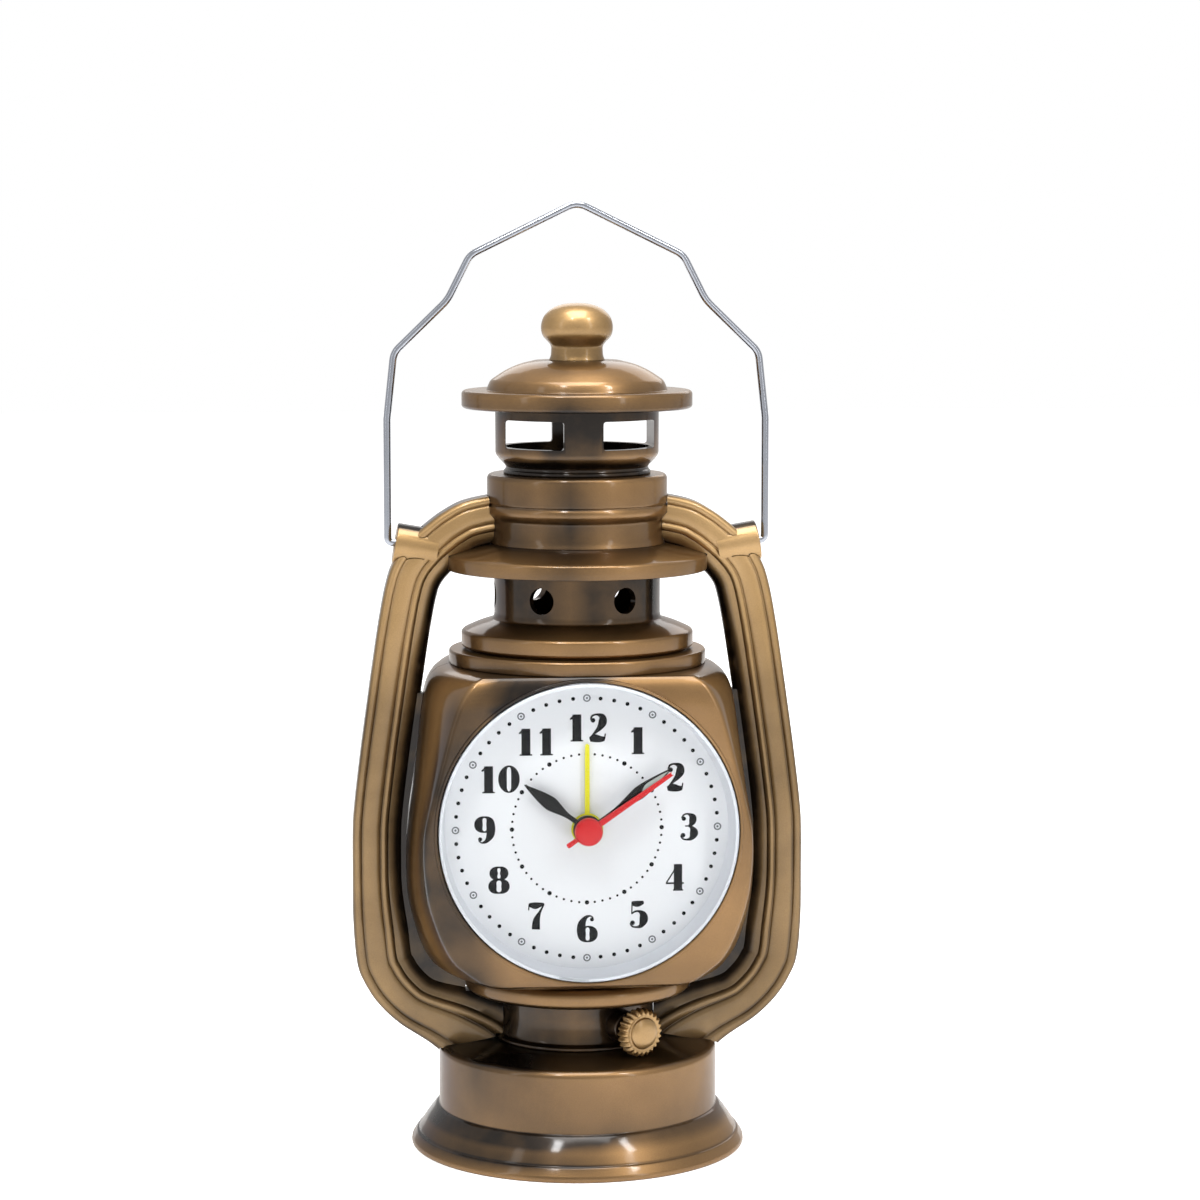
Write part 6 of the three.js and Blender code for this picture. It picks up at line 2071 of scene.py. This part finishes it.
class Works:
    """Finishes for the solids that show as they are, seen when the clock is opened or moved."""

    GROUPS: tuple[tuple[str, tuple[str, ...]], ...] = (
        ("black_moulding", ("movement_front_case", "movement_back_plate", "alarm_switch", "battery_tray",
                            "time_set_knob", "alarm_set_knob", "base_plate")),
        ("nylon_moulding", ("movement_middle_plate", "hour_wheel", "alarm_wheel", "minute_pipe",
                            "motion_wheel", "centre_wheel", "third_wheel", "second_wheel",
                            "intermediate_wheel", "rotor")),
        ("plated_steel", ("tie_bolt", "base_screw_1", "base_screw_2", "base_screw_3", "cover_screw_1",
                          "cover_screw_2", "cover_screw_3", "movement_screw_1", "movement_screw_2", "stator",
                          "contact_negative", "contact_positive")),
        ("copper_winding", ("coil",)),
        ("board_resist", ("circuit_board",)),
        ("cell_print", ("battery",)),
        ("sounder_moulding", ("buzzer",)),
        ("insulation_black", ("lead_black",)),
        ("insulation_red", ("lead_red",)),
    )

    def __init__(self, shelf: FinishShelf) -> None:
        """Keeps the finishes.

        Args:
            shelf: Where the materials come from.
        """
        self.shelf = shelf

    def dress(self, nodes: dict[str, bpy.types.Object]) -> None:
        """Gives each solid its material.

        Args:
            nodes: The solids by name.
        """
        for finish, names in self.GROUPS:
            material = self.shelf.get(finish)
            for name in names:
                solid = nodes[name]
                if solid.material_slots:
                    for slot in solid.material_slots:
                        slot.link = "OBJECT"
                        slot.material = material
                else:
                    solid.data.materials.append(material)
                LOG.info("%s: dressed as %s", name, finish)


# Studio


@dataclass(frozen=True)
class Lamp:
    """A soft rectangular lamp: its place, its size and its aim in metres, and its power in watts."""

    name: str
    place: Point3
    size: Point2
    power: float
    aim: Point3 = (0, 0, 0.1)


@dataclass(frozen=True)
class StudioSizes:
    """The camera's place round the lantern's axis in millimetres, and its angles in degrees."""

    distance: float = 738.1
    height: float = 201.05
    shift_right: float = 5.0
    azimuth: float = -5.3
    pitch: float = 6.244
    lens: float = 102.0
    sensor: float = 36.0
    floor: float = 3.0
    floor_colour: Point3 = (0.9, 0.9, 0.9)
    floor_roughness: float = 0.9
    floor_glow: float = 0.8
    room_light: float = 0.34
    nearest: float = 0.01
    lamps: tuple[Lamp, ...] = (
        Lamp("left_softbox", (-0.8, -0.5, 0.5), (0.12, 0.8), 0.9),
        Lamp("right_softbox", (0.62, -0.72, 0.5), (0.1, 0.8), 1.5),
        Lamp("top_softbox", (0.0, -0.15, 1.0), (0.6, 0.7), 12.5),
        Lamp("left_window", (-0.25, -0.5, 0.85), (0.08, 0.16), 1.8),
        Lamp("right_window", (0.45, -0.45, 0.8), (0.08, 0.2), 2.0),
        Lamp("rear_softbox", (0.2, 0.9, 0.6), (0.9, 0.5), 3.0),
    )


class Studio:
    """Floor, white surroundings, lamps and camera."""

    def __init__(self, sizes: StudioSizes) -> None:
        """Keeps the studio's sizes.

        Args:
            sizes: The studio's sizes.
        """
        self.sizes = sizes

    def build(self) -> None:
        """Sets up the whole studio."""
        self.floor()
        self.world()
        for lamp in self.sizes.lamps:
            self.lamp(lamp)
        self.camera()

    def floor(self) -> None:
        """Lays a pale floor that keeps the lantern's shadow."""
        mesh = bpy.data.meshes.new("floor")
        half = self.sizes.floor
        corners = [(-half, -half, 0), (half, -half, 0), (half, half, 0), (-half, half, 0)]
        mesh.from_pydata(corners, [], [(0, 1, 2, 3)])
        sheet = ShaderSheet("floor_paper")
        paper = sheet.add("ShaderNodeBsdfPrincipled", Roughness=self.sizes.floor_roughness)
        paper.inputs["Base Color"].default_value = (*self.sizes.floor_colour, 1)
        glow = sheet.add("ShaderNodeEmission", Color=(1, 1, 1, 1), Strength=self.sizes.floor_glow)
        glowing = sheet.add("ShaderNodeAddShader")
        sheet.link(paper.outputs[0], glowing.inputs[0])
        sheet.link(glow.outputs[0], glowing.inputs[1])
        sheet.link(sheet.mixed(sheet.in_view(), paper, glowing), sheet.output.inputs["Surface"])
        mesh.materials.append(sheet.material)
        floor = bpy.data.objects.new("floor", mesh)
        bpy.context.scene.collection.objects.link(floor)

    def world(self) -> None:
        """Makes surroundings that are white to look at and give soft, even light."""
        world = bpy.data.worlds.new("white_room")
        world.use_nodes = True
        sheet = NodeSheet(world.node_tree)
        light = sheet.add("ShaderNodeBackground", Color=(1, 1, 1, 1), Strength=self.sizes.room_light)
        white = sheet.add("ShaderNodeBackground", Color=(1, 1, 1, 1), Strength=1.0)
        output = sheet.add("ShaderNodeOutputWorld")
        sheet.link(sheet.mixed(sheet.in_view(), light, white), output.inputs["Surface"])
        bpy.context.scene.world = world

    def lamp(self, lamp: Lamp) -> None:
        """Hangs one softbox.

        Args:
            lamp: Its place, size, aim and power.
        """
        data = bpy.data.lights.new(lamp.name, "AREA")
        data.shape = "RECTANGLE"
        data.size, data.size_y = lamp.size
        data.energy = lamp.power
        holder = bpy.data.objects.new(lamp.name, data)
        holder.location = lamp.place
        way = Vector(lamp.aim) - Vector(lamp.place)
        holder.rotation_euler = way.to_track_quat("-Z", "Y").to_euler()
        bpy.context.scene.collection.objects.link(holder)

    def camera(self) -> None:
        """Stands the camera where the photograph was taken from."""
        sizes = self.sizes
        turn = math.radians(sizes.azimuth)
        data = bpy.data.cameras.new("camera")
        data.lens, data.sensor_width = sizes.lens, sizes.sensor
        data.clip_start = sizes.nearest
        camera = bpy.data.objects.new("camera", data)
        camera.location = Vector((
            sizes.distance * math.sin(turn) + sizes.shift_right * math.cos(turn),
            -sizes.distance * math.cos(turn) + sizes.shift_right * math.sin(turn),
            sizes.height,
        )) * MM
        camera.rotation_euler = (QUARTER_TURN - math.radians(sizes.pitch), 0, turn)
        bpy.context.scene.collection.objects.link(camera)
        bpy.context.scene.camera = camera


def main() -> None:
    """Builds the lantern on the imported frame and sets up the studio."""
    logging.basicConfig(level=logging.INFO, format="%(message)s")
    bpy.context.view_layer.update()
    shelf = FinishShelf()
    Foot(shelf).build(FootSizes())
    Burner(shelf).build(BurnerSizes(), RingSizes())
    Globe(shelf).build(GlobeSizes())
    Chimney(shelf).build(ChimneySizes())
    SideTubes(shelf).build(TubeSizes())
    CarryingWire(shelf).build(WireSizes())
    face = DialSizes()
    ClockFace(shelf).build(face)
    Hands(shelf).build(face.axis)
    Back(shelf).build(BackSizes())
    Works(shelf).dress(frame["nodes"])
    Studio(StudioSizes()).build()
    bpy.context.scene.view_settings.view_transform = "Standard"


if __name__ == "__main__":
    main()
